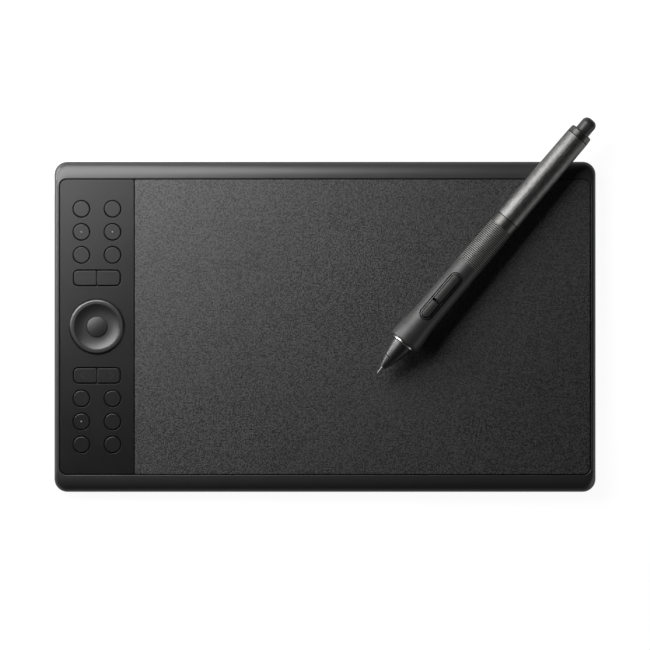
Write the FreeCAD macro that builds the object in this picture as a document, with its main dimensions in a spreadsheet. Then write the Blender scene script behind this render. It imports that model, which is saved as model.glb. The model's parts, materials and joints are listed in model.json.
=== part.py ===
import FreeCAD, Part
import math
import os
import sys
import types

import Sketcher

# A pen tablet with a column of express keys and a dial, and its battery-free pen lying across it.
# All sizes are in millimetres. The frame has +X to the right, +Y to the back edge and +Z up, and its
# origin is on the desk under the middle of the tablet, in the centre of the middle foot's face.

# Each driving size: its name, its value and what it is.
SIZES = [
    ("case_length", 270.8, "case, left edge to right edge"),
    ("case_depth", 165.2, "case, front edge to back edge"),
    ("case_corner", 6.5, "corner radius of the case seen from above"),
    ("case_top", 9.2, "rim of the top case above the desk"),
    ("case_base", 0.8, "underside of the bottom cover above the desk"),
    ("parting_height", 4.6, "joint of the two covers above the desk"),
    ("parting_step", 0.12, "inset of the bottom cover at the joint"),
    ("nose_depth", 8.5, "rounded front and back bands, from the edge to the recess"),
    ("side_depth", 2.45, "narrow left and right bands, from the edge to the recess"),
    ("rim_flat", 0.4, "flat rim between a band and the recess"),
    ("under_nose", 7.0, "rounding below the front and back edges"),
    ("under_side", 3.0, "rounding below the left and right edges"),
    ("recess_depth", 1.0, "recess that holds the drawing sheet and the key panel"),
    ("recess_corner", 3.8, "corner radius of the recess"),
    ("recess_round", 0.25, "rounding of the recess's upper edge"),
    ("deck_wall", 1.2, "deck under the drawing sheet"),
    ("floor_wall", 1.4, "floor of the bottom cover"),
    ("side_wall", 2.2, "left and right walls at the joint"),
    ("nose_wall", 4.2, "front and back walls at the joint"),
    ("cavity_corner", 4.0, "corner radius inside the case"),
    ("lip_height", 1.0, "locating lip above the joint"),
    ("lip_wall", 0.9, "thickness of the locating lip"),
    ("lip_gap", 0.15, "clearance round the locating lip"),
    ("sheet_drop", 0.15, "drawing sheet below the rim"),
    ("sheet_gap", 0.52, "gap round the drawing sheet and the key panel"),
    ("sheet_round", 0.15, "rounding of the sheet's and the panel's upper edges"),
    ("panel_width", 37.7, "recess's left wall to the middle of the dividing gap"),
    ("window_ledge", 2.2, "ledge of the deck that carries the key panel's long sides"),
    ("window_end", 9.1, "window under the key panel from the recess's front and back walls"),
    ("dial_offset", 19.0, "dial's axis from the recess's left wall"),
    ("key_column", 15.55, "distance between the two columns of round keys"),
    ("key_end", 15.2, "last row of round keys from the recess's front and back walls"),
    ("key_radius", 3.88, "round key cap"),
    ("key_gap", 0.56, "gap between a cap and the panel"),
    ("key_proud", 0.1, "cap above the panel"),
    ("key_slope", 0.2, "sloping edge of a round cap, seen from above"),
    ("key_fall", 0.11, "drop of a round cap's sloping edge"),
    ("bar_round", 0.3, "rounding of a bar key's upper edge"),
    ("key_travel", 0.5, "travel of a key"),
    ("flange_thick", 0.5, "retaining flange of a key"),
    ("flange_reach", 0.6, "flange beyond the hole in the panel"),
    ("flange_gap", 0.05, "flange below the panel"),
    ("stem_radius", 1.6, "stem of a key"),
    ("stem_gap", 0.15, "clearance round a stem in its guide"),
    ("bump_radius", 0.5, "locating bump on a key cap"),
    ("bump_height", 0.28, "height of the locating bump"),
    ("bar_share", 0.3293, "row of bar keys, as a share of the recess's half depth"),
    ("bar_length", 24.0, "opening for a pair of bar keys, left to right"),
    ("bar_depth", 8.4, "opening for a pair of bar keys, front to back"),
    ("bar_corner", 2.7, "corner radius of the opening for bar keys"),
    ("chevron_at", 7.0, "middle of a raised chevron from the dial's axis, left or right"),
    ("chevron_size", 1.8, "half height of a raised chevron"),
    ("chevron_reach", 2.5, "point of a raised chevron beyond its ends"),
    ("chevron_width", 0.45, "stroke of a raised chevron, left to right"),
    ("chevron_height", 0.12, "height of a raised chevron"),
    ("guide_thick", 0.8, "key guide frame"),
    ("guide_end", 4.5, "key guide frame from the recess's front and back walls"),
    ("board_top", 4.6, "upper face of the key board above the desk"),
    ("board_thick", 1.0, "key board"),
    ("board_right", 45.5, "key board's right edge from the recess's left wall"),
    ("board_front", 4.1, "key board's front edge from the recess's front wall"),
    ("board_back", 2.6, "key board's back edge from the recess's back wall"),
    ("dome_radius", 2.5, "snap dome"),
    ("dome_height", 0.35, "snap dome"),
    ("button_shoulder", 0.42, "dial button's edge, radius less than the hole"),
    ("button_round", 0.3, "rounding of the dial button's edge"),
    ("press_gap", 0.1, "stem above its dome at the end of its travel"),
    ("dial_radius", 13.7, "dial's outer rim"),
    ("dial_gap", 0.25, "gap round the dial in the panel"),
    ("dial_height", 1.25, "dial's rim above the panel"),
    ("rim_width", 2.35, "dial's rim"),
    ("rim_flank", 1.0, "sloping outer side of the rim, seen from above"),
    ("rim_fall", 0.6, "drop of the rim's outer side"),
    ("rim_edge", 0.2, "rounded inner edge of the rim"),
    ("rim_joint", 0.2, "fine groove between the rim and the dish"),
    ("dish_depth", 0.75, "fall of the dish towards its middle"),
    ("dish_edge_drop", 0.3, "outer edge of the dish below the rim's crest"),
    ("dial_flange_reach", 1.0, "dial's flange beyond its rim"),
    ("dial_flange_thick", 0.65, "dial's flange"),
    ("dial_wall", 1.3, "dial's outer wall"),
    ("dial_float", 0.3, "dial's underside above the guide frame"),
    ("dial_hole", 5.5, "hole in the middle of the dish"),
    ("plate_thick", 0.65, "dish at its lowest"),
    ("button_dome", 0.3, "crown of the dial's centre button"),
    ("hub_bore", 5.9, "fixed hub, inside radius"),
    ("hub_wall", 0.7, "fixed hub, wall"),
    ("hub_gap", 0.1, "running clearance on the hub"),
    ("hub_base", 0.8, "base flange of the hub beyond its wall"),
    ("hub_base_thick", 0.4, "base flange of the hub"),
    ("sleeve_wall", 0.9, "dial's sleeve, wall"),
    ("wheel_gap", 1.0, "encoder wheel inside the dial's outer wall"),
    ("wheel_thick", 0.5, "encoder wheel"),
    ("wheel_height", 0.9, "encoder wheel above the key board"),
    ("notch_depth", 1.2, "notches in the encoder wheel"),
    ("sensor_left", 41.0, "sensor board's left edge from the recess's left wall"),
    ("sensor_right", 6.75, "sensor board's right edge from the recess's right wall"),
    ("sensor_gap", 0.5, "sensor board from the screw bosses"),
    ("sensor_thick", 1.0, "sensor board"),
    ("shield_thick", 0.25, "magnetic shield"),
    ("shield_inset", 6.0, "shield's left edge inside the sensor board's"),
    ("plate_inset", 1.0, "steel plate inside the shield"),
    ("steel_thick", 0.6, "steel plate"),
    ("rib_thick", 1.2, "ribs on the floor"),
    ("post_radius", 1.6, "posts under the key board"),
    ("screw_edge", 11.2, "outer screws from the case's left and right edges"),
    ("screw_inner", 42.0, "inner screws from the middle"),
    ("screw_depth", 8.0, "rows of screws from the case's front and back edges"),
    ("screw_radius", 1.0, "case screw's shank"),
    ("screw_head", 1.9, "case screw's head"),
    ("screw_head_thick", 1.0, "case screw's head"),
    ("screw_length", 4.4, "case screw below its head"),
    ("screw_sunk", 0.4, "case screw's head inside the underside"),
    ("screw_fit", 0.05, "clearance round a shank"),
    ("head_fit", 0.3, "clearance round a screw's head"),
    ("drive_reach", 1.1, "cross recess in a screw's head"),
    ("drive_width", 0.45, "cross recess in a screw's head"),
    ("drive_depth", 0.5, "cross recess in a screw's head"),
    ("boss_radius", 2.1, "screw bosses of the top case"),
    ("seat_wall", 1.0, "bottom cover's bosses beyond their screw heads"),
    ("boss_joint", 3.4, "joint of the two bosses above the desk"),
    ("chip_size", 7.0, "controller"),
    ("chip_thick", 0.85, "controller"),
    ("chip_edge", 6.0, "controller's middle from the key board's right edge"),
    ("connector_length", 24.0, "connector between the two boards"),
    ("connector_width", 2.6, "connector between the two boards"),
    ("connector_edge", 1.8, "connector's middle from the key board's right edge"),
    ("encoder_inset", 1.5, "encoder sensor's middle inside the encoder wheel's edge"),
    ("encoder_size", 2.6, "encoder sensor"),
    ("encoder_thick", 0.5, "encoder sensor"),
    ("foot_length", 24.0, "corner foot"),
    ("foot_width", 9.0, "corner foot"),
    ("foot_side", 33.2, "corner feet's middles from the case's left and right edges"),
    ("foot_end", 21.3, "corner feet's middles from the case's front and back edges"),
    ("foot_sunk", 0.5, "foot inside its seat"),
    ("foot_gap", 0.15, "gap round a foot in its seat"),
    ("centre_foot_radius", 8.0, "middle foot"),
    ("foot_round", 0.25, "rounding of a foot's lower edge"),
    ("socket_end", 13.0, "cable socket's middle from the case's back edge"),
    ("socket_height", 4.2, "cable socket's middle above the desk"),
    ("socket_width", 8.94, "cable socket's shell"),
    ("socket_tall", 3.26, "cable socket's shell"),
    ("socket_deep", 7.3, "cable socket's shell"),
    ("socket_wall", 0.3, "cable socket's shell"),
    ("socket_mouth", 0.3, "cable socket's mouth inside the case's edge"),
    ("socket_gap", 0.15, "clearance round the socket"),
    ("socket_back", 0.8, "cable socket's rear wall"),
    ("tab_length", 2.2, "solder tabs of the cable socket"),
    ("tab_reach", 1.2, "solder tabs of the cable socket"),
    ("tab_thick", 0.3, "solder tabs of the cable socket"),
    ("tongue_width", 6.69, "contact tongue"),
    ("tongue_thick", 0.7, "contact tongue"),
    ("tongue_length", 4.45, "contact tongue"),
    ("board_screw_radius", 0.7, "board screw's shank"),
    ("board_screw_head", 1.4, "board screw's head"),
    ("board_screw_head_thick", 0.8, "board screw's head"),
    ("board_screw_end", 6.7, "board screws from the recess's front and back walls"),
    ("board_screw_left", 10.8, "left board screws from the recess's left wall"),
    ("board_screw_right", 32.8, "right board screws from the recess's left wall"),
    ("board_screw_bite", 0.8, "board screw's end in the deck"),
    ("pen_length", 166.0, "pen, tip to end"),
    ("pen_tip_x", 106.95, "pen's tip from the recess's right wall"),
    ("pen_tip_y", 97.5, "pen's tip from the recess's back wall"),
    ("pen_heading", 49.7, "pen's direction from +X, in degrees"),
    ("pen_roll", 6.5, "how far the side switch is rolled to the pen's left, in degrees"),
    ("pen_clearance", 0.12, "pen above what it lies on"),
    ("nib_out", 4.3, "nib outside the nose"),
    ("nib_radius", 0.95, "nib"),
    ("nib_point", 0.5, "nib's rounded point"),
    ("nib_taper", 4.0, "tapered part of the nib"),
    ("nib_end", 31.0, "nib's inner end from the tip"),
    ("nib_travel", 0.4, "travel of the nib"),
    ("nose_tip_radius", 1.65, "front of the nose"),
    ("nose_seam", 10.2, "seam in the nose from the tip"),
    ("nose_seam_radius", 3.55, "nose at its seam"),
    ("nose_end", 19.5, "back of the nose cone from the tip"),
    ("nose_end_radius", 5.55, "nose cone at its back"),
    ("nose_curve", 60.0, "radius of the nose's slight curve"),
    ("nose_bore", 1.05, "hole for the nib"),
    ("tip_spigot", 1.8, "spigot of the nose tip, radius"),
    ("tip_spigot_length", 2.8, "spigot of the nose tip"),
    ("cone_spigot_end", 25.0, "end of the cone's spigot from the tip"),
    ("ring_radius", 6.3, "bright ring behind the nose cone"),
    ("ring_end", 20.8, "back of the bright ring from the tip"),
    ("coil_radius", 2.4, "coil round the nib"),
    ("coil_start", 14.0, "front of the coil from the tip"),
    ("coil_chamber", 2.75, "chamber for the coil in the nose cone"),
    ("coil_end", 28.0, "back of the coil from the tip"),
    ("grip_shoulder", 7.8, "grip at its front face, radius"),
    ("grip_widest_at", 22.4, "widest point of the grip from the tip"),
    ("grip_widest", 8.15, "grip at its widest, radius"),
    ("grip_turn_at", 28.0, "where the grip starts to hollow, from the tip"),
    ("grip_turn", 7.85, "grip where it starts to hollow, radius"),
    ("grip_waist_at", 38.5, "end of the hollow from the tip"),
    ("grip_waist", 7.07, "grip at the end of the hollow, radius"),
    ("grip_end_at", 71.0, "back of the grip from the tip"),
    ("grip_end", 6.7, "grip at its back, radius"),
    ("tube_bore", 4.5, "bore of the pen's inner tube"),
    ("tube_radius", 5.35, "outside of the inner tube that carries the outer pieces"),
    ("tube_end", 108.0, "back of the inner tube from the tip"),
    ("pen_fit", 0.05, "clearance between the pen's fixed pieces"),
    ("switch_front_at", 35.8, "front of the side switch from the tip"),
    ("switch_back_at", 64.0, "back of the side switch from the tip"),
    ("switch_split_at", 46.6, "gap between the two buttons from the tip"),
    ("switch_half", 3.0, "half width of the switch frame"),
    ("bezel_gap", 0.4, "gap between the grip and the switch frame"),
    ("bezel_wall", 0.5, "frame round the side switch"),
    ("bezel_proud", 0.12, "switch frame above the grip"),
    ("switch_gap", 0.35, "gap round a side button"),
    ("switch_split", 0.9, "gap between the two side buttons"),
    ("switch_proud", 0.75, "side buttons above the grip"),
    ("switch_floor", 4.4, "underside of the switch frame from the pen's axis"),
    ("switch_flange", 0.45, "flange of a side button beyond the button"),
    ("switch_corner", 0.7, "square end's corners on a side button"),
    ("switch_round", 0.4, "rounding of a side button's upper edge"),
    ("switch_travel", 0.35, "travel of a side button"),
    ("rib_band_end", 95.5, "back of the ribbed sleeve from the tip"),
    ("rib_band_radius", 6.7, "crests of the ribbed sleeve"),
    ("rib_pitch", 0.93, "distance between ribs"),
    ("rib_depth", 0.4, "grooves between ribs"),
    ("rib_groove", 0.5, "width of a groove"),
    ("rib_slope", 0.1, "sloping side of a groove"),
    ("collar_end", 100.75, "back of the barrel ring from the tip"),
    ("barrel_front", 6.45, "barrel at its front, radius"),
    ("barrel_end", 154.5, "back of the barrel from the tip"),
    ("barrel_back", 6.1, "barrel at its back, radius"),
    ("seam_chamfer", 0.2, "bevel at the pen's seams"),
    ("cap_end", 158.2, "back of the end collar from the tip"),
    ("cap_back", 5.9, "end collar at its back, radius"),
    ("cap_round", 0.9, "rounding of the end collar"),
    ("cap_spigot", 3.0, "length of the end collar's spigot"),
    ("eraser_radius", 3.9, "eraser"),
    ("eraser_gap", 0.3, "gap round the eraser"),
    ("eraser_round", 2.9, "rounding of the eraser's end"),
    ("eraser_travel", 0.8, "travel of the eraser"),
    ("barrel_bore", 5.1, "bore of the barrel behind the inner tube"),
    ("eraser_flange_thick", 1.2, "flange of the eraser"),
    ("eraser_stem", 1.2, "stem of the eraser"),
    ("eraser_play", 0.2, "space left behind the eraser at the end of its travel"),
    ("stem_reach", 1.4, "how far the eraser's stem reaches into its sensor"),
    ("chamber_gap", 0.3, "space round a moving rod inside the pen"),
    ("pen_board_width", 8.0, "pen's circuit board"),
    ("pen_board_thick", 0.8, "pen's circuit board"),
    ("eraser_sensor_at", 139.0, "front of the sensor behind the eraser from the tip"),
    ("tact_height", 1.2, "switches on the pen's circuit board"),
    ("tact_size", 3.2, "switches on the pen's circuit board"),
    ("slot_ledge", 0.2, "ledge in the grip under the switch frame"),
    ("slot_floor", 3.0, "bottom of the switch's opening from the pen's axis"),
    ("flange_slim", 0.5, "flange of a side button"),
    ("button_stem", 1.1, "stem of a side button"),
]

BAND_SECTIONS = 7  # cross sections along each rounded band
KEY_ROWS = 3
WHEEL_NOTCHES = 24
RIB_GROOVES = 26
LONG_RIBS = 3
CROSS_RIBS = 5
BUMP_KEYS = ("rear_key_2_left", "rear_key_2_right", "front_key_2_left")
NEAR = 1e-4  # two places closer than this are the same


class Size:
    """A length tied to the sheet: its number now, and the expression that gives it."""

    def __init__(self, number, text):
        self.number = float(number)
        self.text = text

    def __add__(self, other):
        other = size_of(other)
        return Size(self.number + other.number, f"({self.text} + {other.text})")

    def __sub__(self, other):
        other = size_of(other)
        return Size(self.number - other.number, f"({self.text} - {other.text})")

    def __mul__(self, other):
        other = size_of(other)
        return Size(self.number * other.number, f"({self.text} * {other.text})")

    def __truediv__(self, other):
        other = size_of(other)
        return Size(self.number / other.number, f"({self.text} / {other.text})")

    def __radd__(self, other):
        return size_of(other) + self

    def __rsub__(self, other):
        return size_of(other) - self

    def __rmul__(self, other):
        return size_of(other) * self

    def __neg__(self):
        return size_of(0) - self


def size_of(thing):
    """A Size, also from a plain number."""
    return thing if isinstance(thing, Size) else Size(thing, f"{float(thing):.9g}")


def fill_sheet(document):
    """Writes the driving sizes to the document's sheet and returns them as named Sizes."""
    cells = document.addObject("Spreadsheet::Sheet", "Sizes")
    for row, (name, value, meaning) in enumerate(SIZES, start=1):
        cells.set(f"A{row}", name)
        cells.set(f"B{row}", str(value))
        cells.set(f"C{row}", meaning)
        cells.setAlias(f"B{row}", name)
    document.recompute()
    return types.SimpleNamespace(
        **{name: Size(cells.get(name), f"Sizes.{name}") for name, _, _ in SIZES}
    )


doc = FreeCAD.newDocument("pen_tablet")
S = fill_sheet(doc)

# Places that several pieces share.
HALF_LENGTH = S.case_length / 2
HALF_DEPTH = S.case_depth / 2
RECESS_X = HALF_LENGTH - S.side_depth
RECESS_Y = HALF_DEPTH - S.nose_depth
DECK_TOP = S.case_top - S.recess_depth
DECK_BOTTOM = DECK_TOP - S.deck_wall
SHEET_TOP = S.case_top - S.sheet_drop
SHEET_THICK = SHEET_TOP - DECK_TOP
FLOOR = S.case_base + S.floor_wall
DIVIDER = S.panel_width - RECESS_X
DIAL_X = S.dial_offset - RECESS_X
CAVITY_X = HALF_LENGTH - S.side_wall
CAVITY_Y = HALF_DEPTH - S.nose_wall
GUIDE_BOTTOM = DECK_BOTTOM - S.guide_thick
BOARD_BOTTOM = S.board_top - S.board_thick
WHEEL_RADIUS = S.dial_radius - S.dial_wall - S.wheel_gap
STEM_END = S.board_top + S.dome_height + S.key_travel + S.press_gap
FLANGE_TOP = DECK_TOP - S.flange_gap
FLANGE_BOTTOM = FLANGE_TOP - S.flange_thick
KEY_TOP = SHEET_TOP + S.key_proud
KEY_HOLE = S.key_radius + S.key_gap
BAR_STEM = S.bar_length / 4
BAR_ROW = RECESS_Y * S.bar_share
LAST_ROW = RECESS_Y - S.key_end
KEY_PITCH = (LAST_ROW - BAR_ROW) / KEY_ROWS
SOCKET_Y = HALF_DEPTH - S.socket_end
SCREW_ROW = HALF_DEPTH - S.screw_depth
SCREW_SPREAD = HALF_LENGTH - S.screw_edge
SENSOR_BOTTOM = DECK_BOTTOM - S.sensor_thick
SHIELD_BOTTOM = SENSOR_BOTTOM - S.shield_thick
STEEL_BOTTOM = SHIELD_BOTTOM - S.steel_thick
SENSOR_LEFT = S.sensor_left - RECESS_X
SENSOR_RIGHT = RECESS_X - S.sensor_right
SENSOR_HALF = SCREW_ROW - S.boss_radius - S.sensor_gap
STEEL_LEFT = SENSOR_LEFT + S.shield_inset + S.plate_inset
STEEL_RIGHT = SENSOR_RIGHT - S.plate_inset * 2
STEEL_HALF = SENSOR_HALF - S.plate_inset * 2
SCREW_PLACES = [
    (along, side * SCREW_ROW)
    for side in (-1, 1)
    for along in (-SCREW_SPREAD, -S.screw_inner, S.screw_inner, SCREW_SPREAD)
]
BOARD_SCREW_PLACES = [
    (along - RECESS_X, side * (RECESS_Y - S.board_screw_end))
    for side in (-1, 1)
    for along in (S.board_screw_left, S.board_screw_right)
]
KEY_PLACES = [
    (
        f"{zone}_key_{number}_{side}",
        DIAL_X + column * S.key_column / 2,
        way * (LAST_ROW - (number - 1) * KEY_PITCH),
    )
    for zone, way in (("rear", 1), ("front", -1))
    for number in range(1, KEY_ROWS + 1)
    for side, column in (("left", -1), ("right", 1))
]
BAR_PLACES = [
    (f"{zone}_bar_{side}", column, way * BAR_ROW)
    for zone, way in (("rear", 1), ("front", -1))
    for side, column in (("left", -1), ("right", 1))
]


def new_body(name):
    """An empty body that becomes one sub-part."""
    return doc.addObject("PartDesign::Body", name)


def sketch_on(body, plane="XY_Plane", height=None):
    """A sketch on one of the body's own origin planes, at a height along that plane's normal."""
    sketch = body.newObject("Sketcher::SketchObject", f"{body.Name}_sketch")
    support = next(f for f in body.Origin.OriginFeatures if f.Role == plane)
    sketch.AttachmentSupport = [(support, "")]
    sketch.MapMode = "FlatFace"
    if height is not None:
        sketch.setExpression("AttachmentOffset.Base.z", size_of(height).text)
    return sketch


def tie(sketch, kind, *where, to):
    """Adds a dimension to a sketch and ties it to a size."""
    to = size_of(to)
    index = sketch.addConstraint(Sketcher.Constraint(kind, *where, to.number))
    sketch.setExpression(f"Constraints[{index}]", to.text)


def pin(sketch, geometry, end, x, y):
    """Fixes one point of a sketch by its two coordinates."""
    tie(sketch, "DistanceX", -1, 1, geometry, end, to=x)
    tie(sketch, "DistanceY", -1, 1, geometry, end, to=y)


def arc_between(first, last, radius, turn):
    """An arc of less than half a circle and the numbers of its first and last ends."""
    chord = last - first
    half = chord.Length / 2
    side = 1 if turn == "left" else -1
    normal = FreeCAD.Vector(-chord.y, chord.x, 0).normalize() * side
    centre = (first + last) * 0.5 + normal * math.sqrt(max(radius**2 - half**2, 0.0))
    angles = [math.atan2(p.y - centre.y, p.x - centre.x) for p in (first, last)]
    if turn != "left":
        angles.reverse()
    if angles[1] < angles[0]:
        angles[1] += 2 * math.pi
    arc = Part.ArcOfCircle(Part.Circle(centre, FreeCAD.Vector(0, 0, 1), radius), *angles)
    return arc, (1, 2) if turn == "left" else (2, 1)


def outline(sketch, *points):
    """A closed outline. Each point is (x, y), reached by a line, or (x, y, radius, turn), by an arc."""
    places = [[size_of(value) for value in point[:2]] for point in points]
    spots = [FreeCAD.Vector(x.number, y.number, 0) for x, y in places]
    pieces = []
    for index, point in enumerate(points):
        first, last = spots[index - 1], spots[index]
        if len(point) == 2:
            pieces.append((sketch.addGeometry(Part.LineSegment(first, last)), 1, 2, None))
            continue
        radius = size_of(point[2])
        arc, (start, end) = arc_between(first, last, radius.number, point[3])
        pieces.append((sketch.addGeometry(arc), start, end, radius))
    for index, (geometry, start, end, radius) in enumerate(pieces):
        after = pieces[(index + 1) % len(pieces)]
        sketch.addConstraint(Sketcher.Constraint("Coincident", geometry, end, after[0], after[1]))
        pin(sketch, geometry, start, *places[index - 1])
        if radius is not None:
            tie(sketch, "Radius", geometry, to=radius)


def box(sketch, left, right, low, high):
    """A plain rectangle."""
    outline(sketch, (left, low), (right, low), (right, high), (left, high))


def rounded_box(sketch, left, right, low, high, corner, right_corner=None):
    """A rectangle with rounded corners, which may differ on the left and on the right."""
    end = corner if right_corner is None else right_corner
    outline(
        sketch,
        (right - end, low),
        (right, low + end, end, "left"),
        (right, high - end),
        (right - end, high, end, "left"),
        (left + corner, high),
        (left, high - corner, corner, "left"),
        (left, low + corner),
        (left + corner, low, corner, "left"),
    )


def stadium(sketch, left, right, low, high):
    """A slot with round ends, lying along the sketch's x axis."""
    end = (high - low) / 2
    middle = (high + low) / 2
    outline(
        sketch,
        (right - end, low),
        (right, middle, end, "left"),
        (right - end, high, end, "left"),
        (left + end, high),
        (left, middle, end, "left"),
        (left + end, low, end, "left"),
    )


def circle(sketch, x, y, radius):
    """A full circle."""
    centre = FreeCAD.Vector(size_of(x).number, size_of(y).number, 0)
    radius = size_of(radius)
    geometry = sketch.addGeometry(Part.Circle(centre, FreeCAD.Vector(0, 0, 1), radius.number))
    pin(sketch, geometry, 3, x, y)
    tie(sketch, "Radius", geometry, to=radius)


def pad(body, sketch, length, down=False):
    """Adds a sketch's area over a length, along its plane's normal or against it."""
    feature = body.newObject("PartDesign::Pad", f"{body.Name}_pad")
    feature.Profile = sketch
    feature.Reversed = down
    feature.setExpression("Length", size_of(length).text)
    return feature


def pocket(body, sketch, depth, up=False):
    """Cuts a sketch's area over a depth, against its plane's normal or along it."""
    feature = body.newObject("PartDesign::Pocket", f"{body.Name}_pocket")
    feature.Profile = sketch
    feature.Reversed = up
    feature.setExpression("Length", size_of(depth).text)
    return feature


def turn(body, sketch, axis="V_Axis", cut=False):
    """Turns a sketch's area about one of its axes, to add it or to cut it."""
    kind = "PartDesign::Groove" if cut else "PartDesign::Revolution"
    feature = body.newObject(kind, f"{body.Name}_turn")
    feature.Profile = sketch
    feature.ReferenceAxis = (sketch, [axis])
    feature.Angle = 360.0
    return feature


def edges_where(shape, test):
    """Names of the edges of a shape that pass a test."""
    return [f"Edge{i}" for i, edge in enumerate(shape.Edges, start=1) if test(edge)]


def lies_at(height):
    """A test for edges that lie flat at one height."""
    level = size_of(height).number

    def test(edge):
        box_of = edge.BoundBox
        return abs(box_of.ZMin - level) < NEAR and abs(box_of.ZMax - level) < NEAR

    return test


def round_edges(body, radius, test):
    """Rounds the edges of a body that pass a test."""
    doc.recompute()
    names = edges_where(body.Tip.Shape, test)
    if not names:
        raise ValueError(f"{body.Name} has no such edges to round")
    base = body.Tip
    feature = body.newObject("PartDesign::Fillet", f"{body.Name}_round")
    feature.Base = (base, names)
    feature.setExpression("Radius", size_of(radius).text)
    return feature


def place(body, x, y, z=0):
    """Puts a body at a place that stays tied to the sheet."""
    for axis, value in zip("xyz", (x, y, z)):
        body.setExpression(f"Placement.Base.{axis}", size_of(value).text)


def band_sections(body, start_height, end_height, start_inset, side, nose, start_corner, end_corner):
    """Lofts a case half through sections whose insets and heights follow quarter ellipses."""
    sketches = []
    for step in range(BAND_SECTIONS):
        angle = math.pi / 2 * step / (BAND_SECTIONS - 1)
        inward, upward = 1 - math.cos(angle), math.sin(angle)
        x = HALF_LENGTH - start_inset - (side - start_inset) * inward
        y = HALF_DEPTH - start_inset - (nose - start_inset) * inward
        corner = start_corner + (end_corner - start_corner) * inward
        height = start_height + (end_height - start_height) * upward
        sketch = sketch_on(body, height=height)
        rounded_box(sketch, -x, x, -y, y, corner)
        sketches.append(sketch)
    feature = body.newObject("PartDesign::AdditiveLoft", f"{body.Name}_loft")
    feature.Profile = sketches[0]
    feature.Sections = sketches[1:]
    feature.Ruled = False
    return feature


def make_top_case():
    """Upper cover: rounded bands, rim, recess, deck with its window, and screw bosses."""
    body = new_body("top_case")
    side = S.side_depth - S.rim_flat
    nose = S.nose_depth - S.rim_flat
    top_corner = S.recess_corner + S.rim_flat
    band_sections(body, S.parting_height, S.case_top, 0, side, nose, S.case_corner, top_corner)
    recess = sketch_on(body, height=S.case_top)
    rounded_box(recess, -RECESS_X, RECESS_X, -RECESS_Y, RECESS_Y, S.recess_corner)
    pocket(body, recess, S.recess_depth)
    round_edges(body, S.recess_round, inner_rim)
    cavity = sketch_on(body, height=S.parting_height)
    rounded_box(cavity, -CAVITY_X, CAVITY_X, -CAVITY_Y, CAVITY_Y, S.cavity_corner)
    pocket(body, cavity, DECK_BOTTOM - S.parting_height, up=True)
    window = sketch_on(body, height=DECK_TOP)
    left = S.window_ledge - RECESS_X
    right = DIVIDER - S.window_ledge
    reach = RECESS_Y - S.window_end
    rounded_box(window, left, right, -reach, reach, S.bar_corner)
    pocket(body, window, S.deck_wall)
    bosses = sketch_on(body, height=DECK_BOTTOM)
    for x, y in SCREW_PLACES:
        circle(bosses, x, y, S.boss_radius)
    pad(body, bosses, DECK_BOTTOM - S.boss_joint, down=True)
    bores = sketch_on(body, height=S.boss_joint)
    for x, y in SCREW_PLACES:
        circle(bores, x, y, S.screw_radius + S.screw_fit)
    pocket(body, bores, DECK_BOTTOM - S.boss_joint + S.screw_fit, up=True)
    board_bores = sketch_on(body, height=DECK_BOTTOM)
    for x, y in BOARD_SCREW_PLACES:
        circle(board_bores, x, y, S.board_screw_radius + S.screw_fit)
    pocket(body, board_bores, S.board_screw_bite + S.screw_fit, up=True)
    cut_socket_mouth(body)
    return body


def inner_rim(edge):
    """True for the recess's upper edge, which lies inside the case's rim."""
    if not lies_at(S.case_top)(edge):
        return False
    bound = edge.BoundBox
    reach_x = max(abs(bound.XMin), abs(bound.XMax))
    reach_y = max(abs(bound.YMin), abs(bound.YMax))
    return reach_x < RECESS_X.number + NEAR and reach_y < RECESS_Y.number + NEAR


def cut_socket_mouth(body):
    """Opens the left wall for the cable socket."""
    mouth = sketch_on(body, "YZ_Plane", -HALF_LENGTH - 1)
    half = S.socket_width / 2 + S.socket_gap
    tall = S.socket_tall / 2 + S.socket_gap
    level = S.socket_height
    stadium(mouth, SOCKET_Y - half, SOCKET_Y + half, level - tall, level + tall)
    pocket(body, mouth, S.socket_mouth + S.socket_deep + S.socket_gap + 1, up=True)


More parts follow.
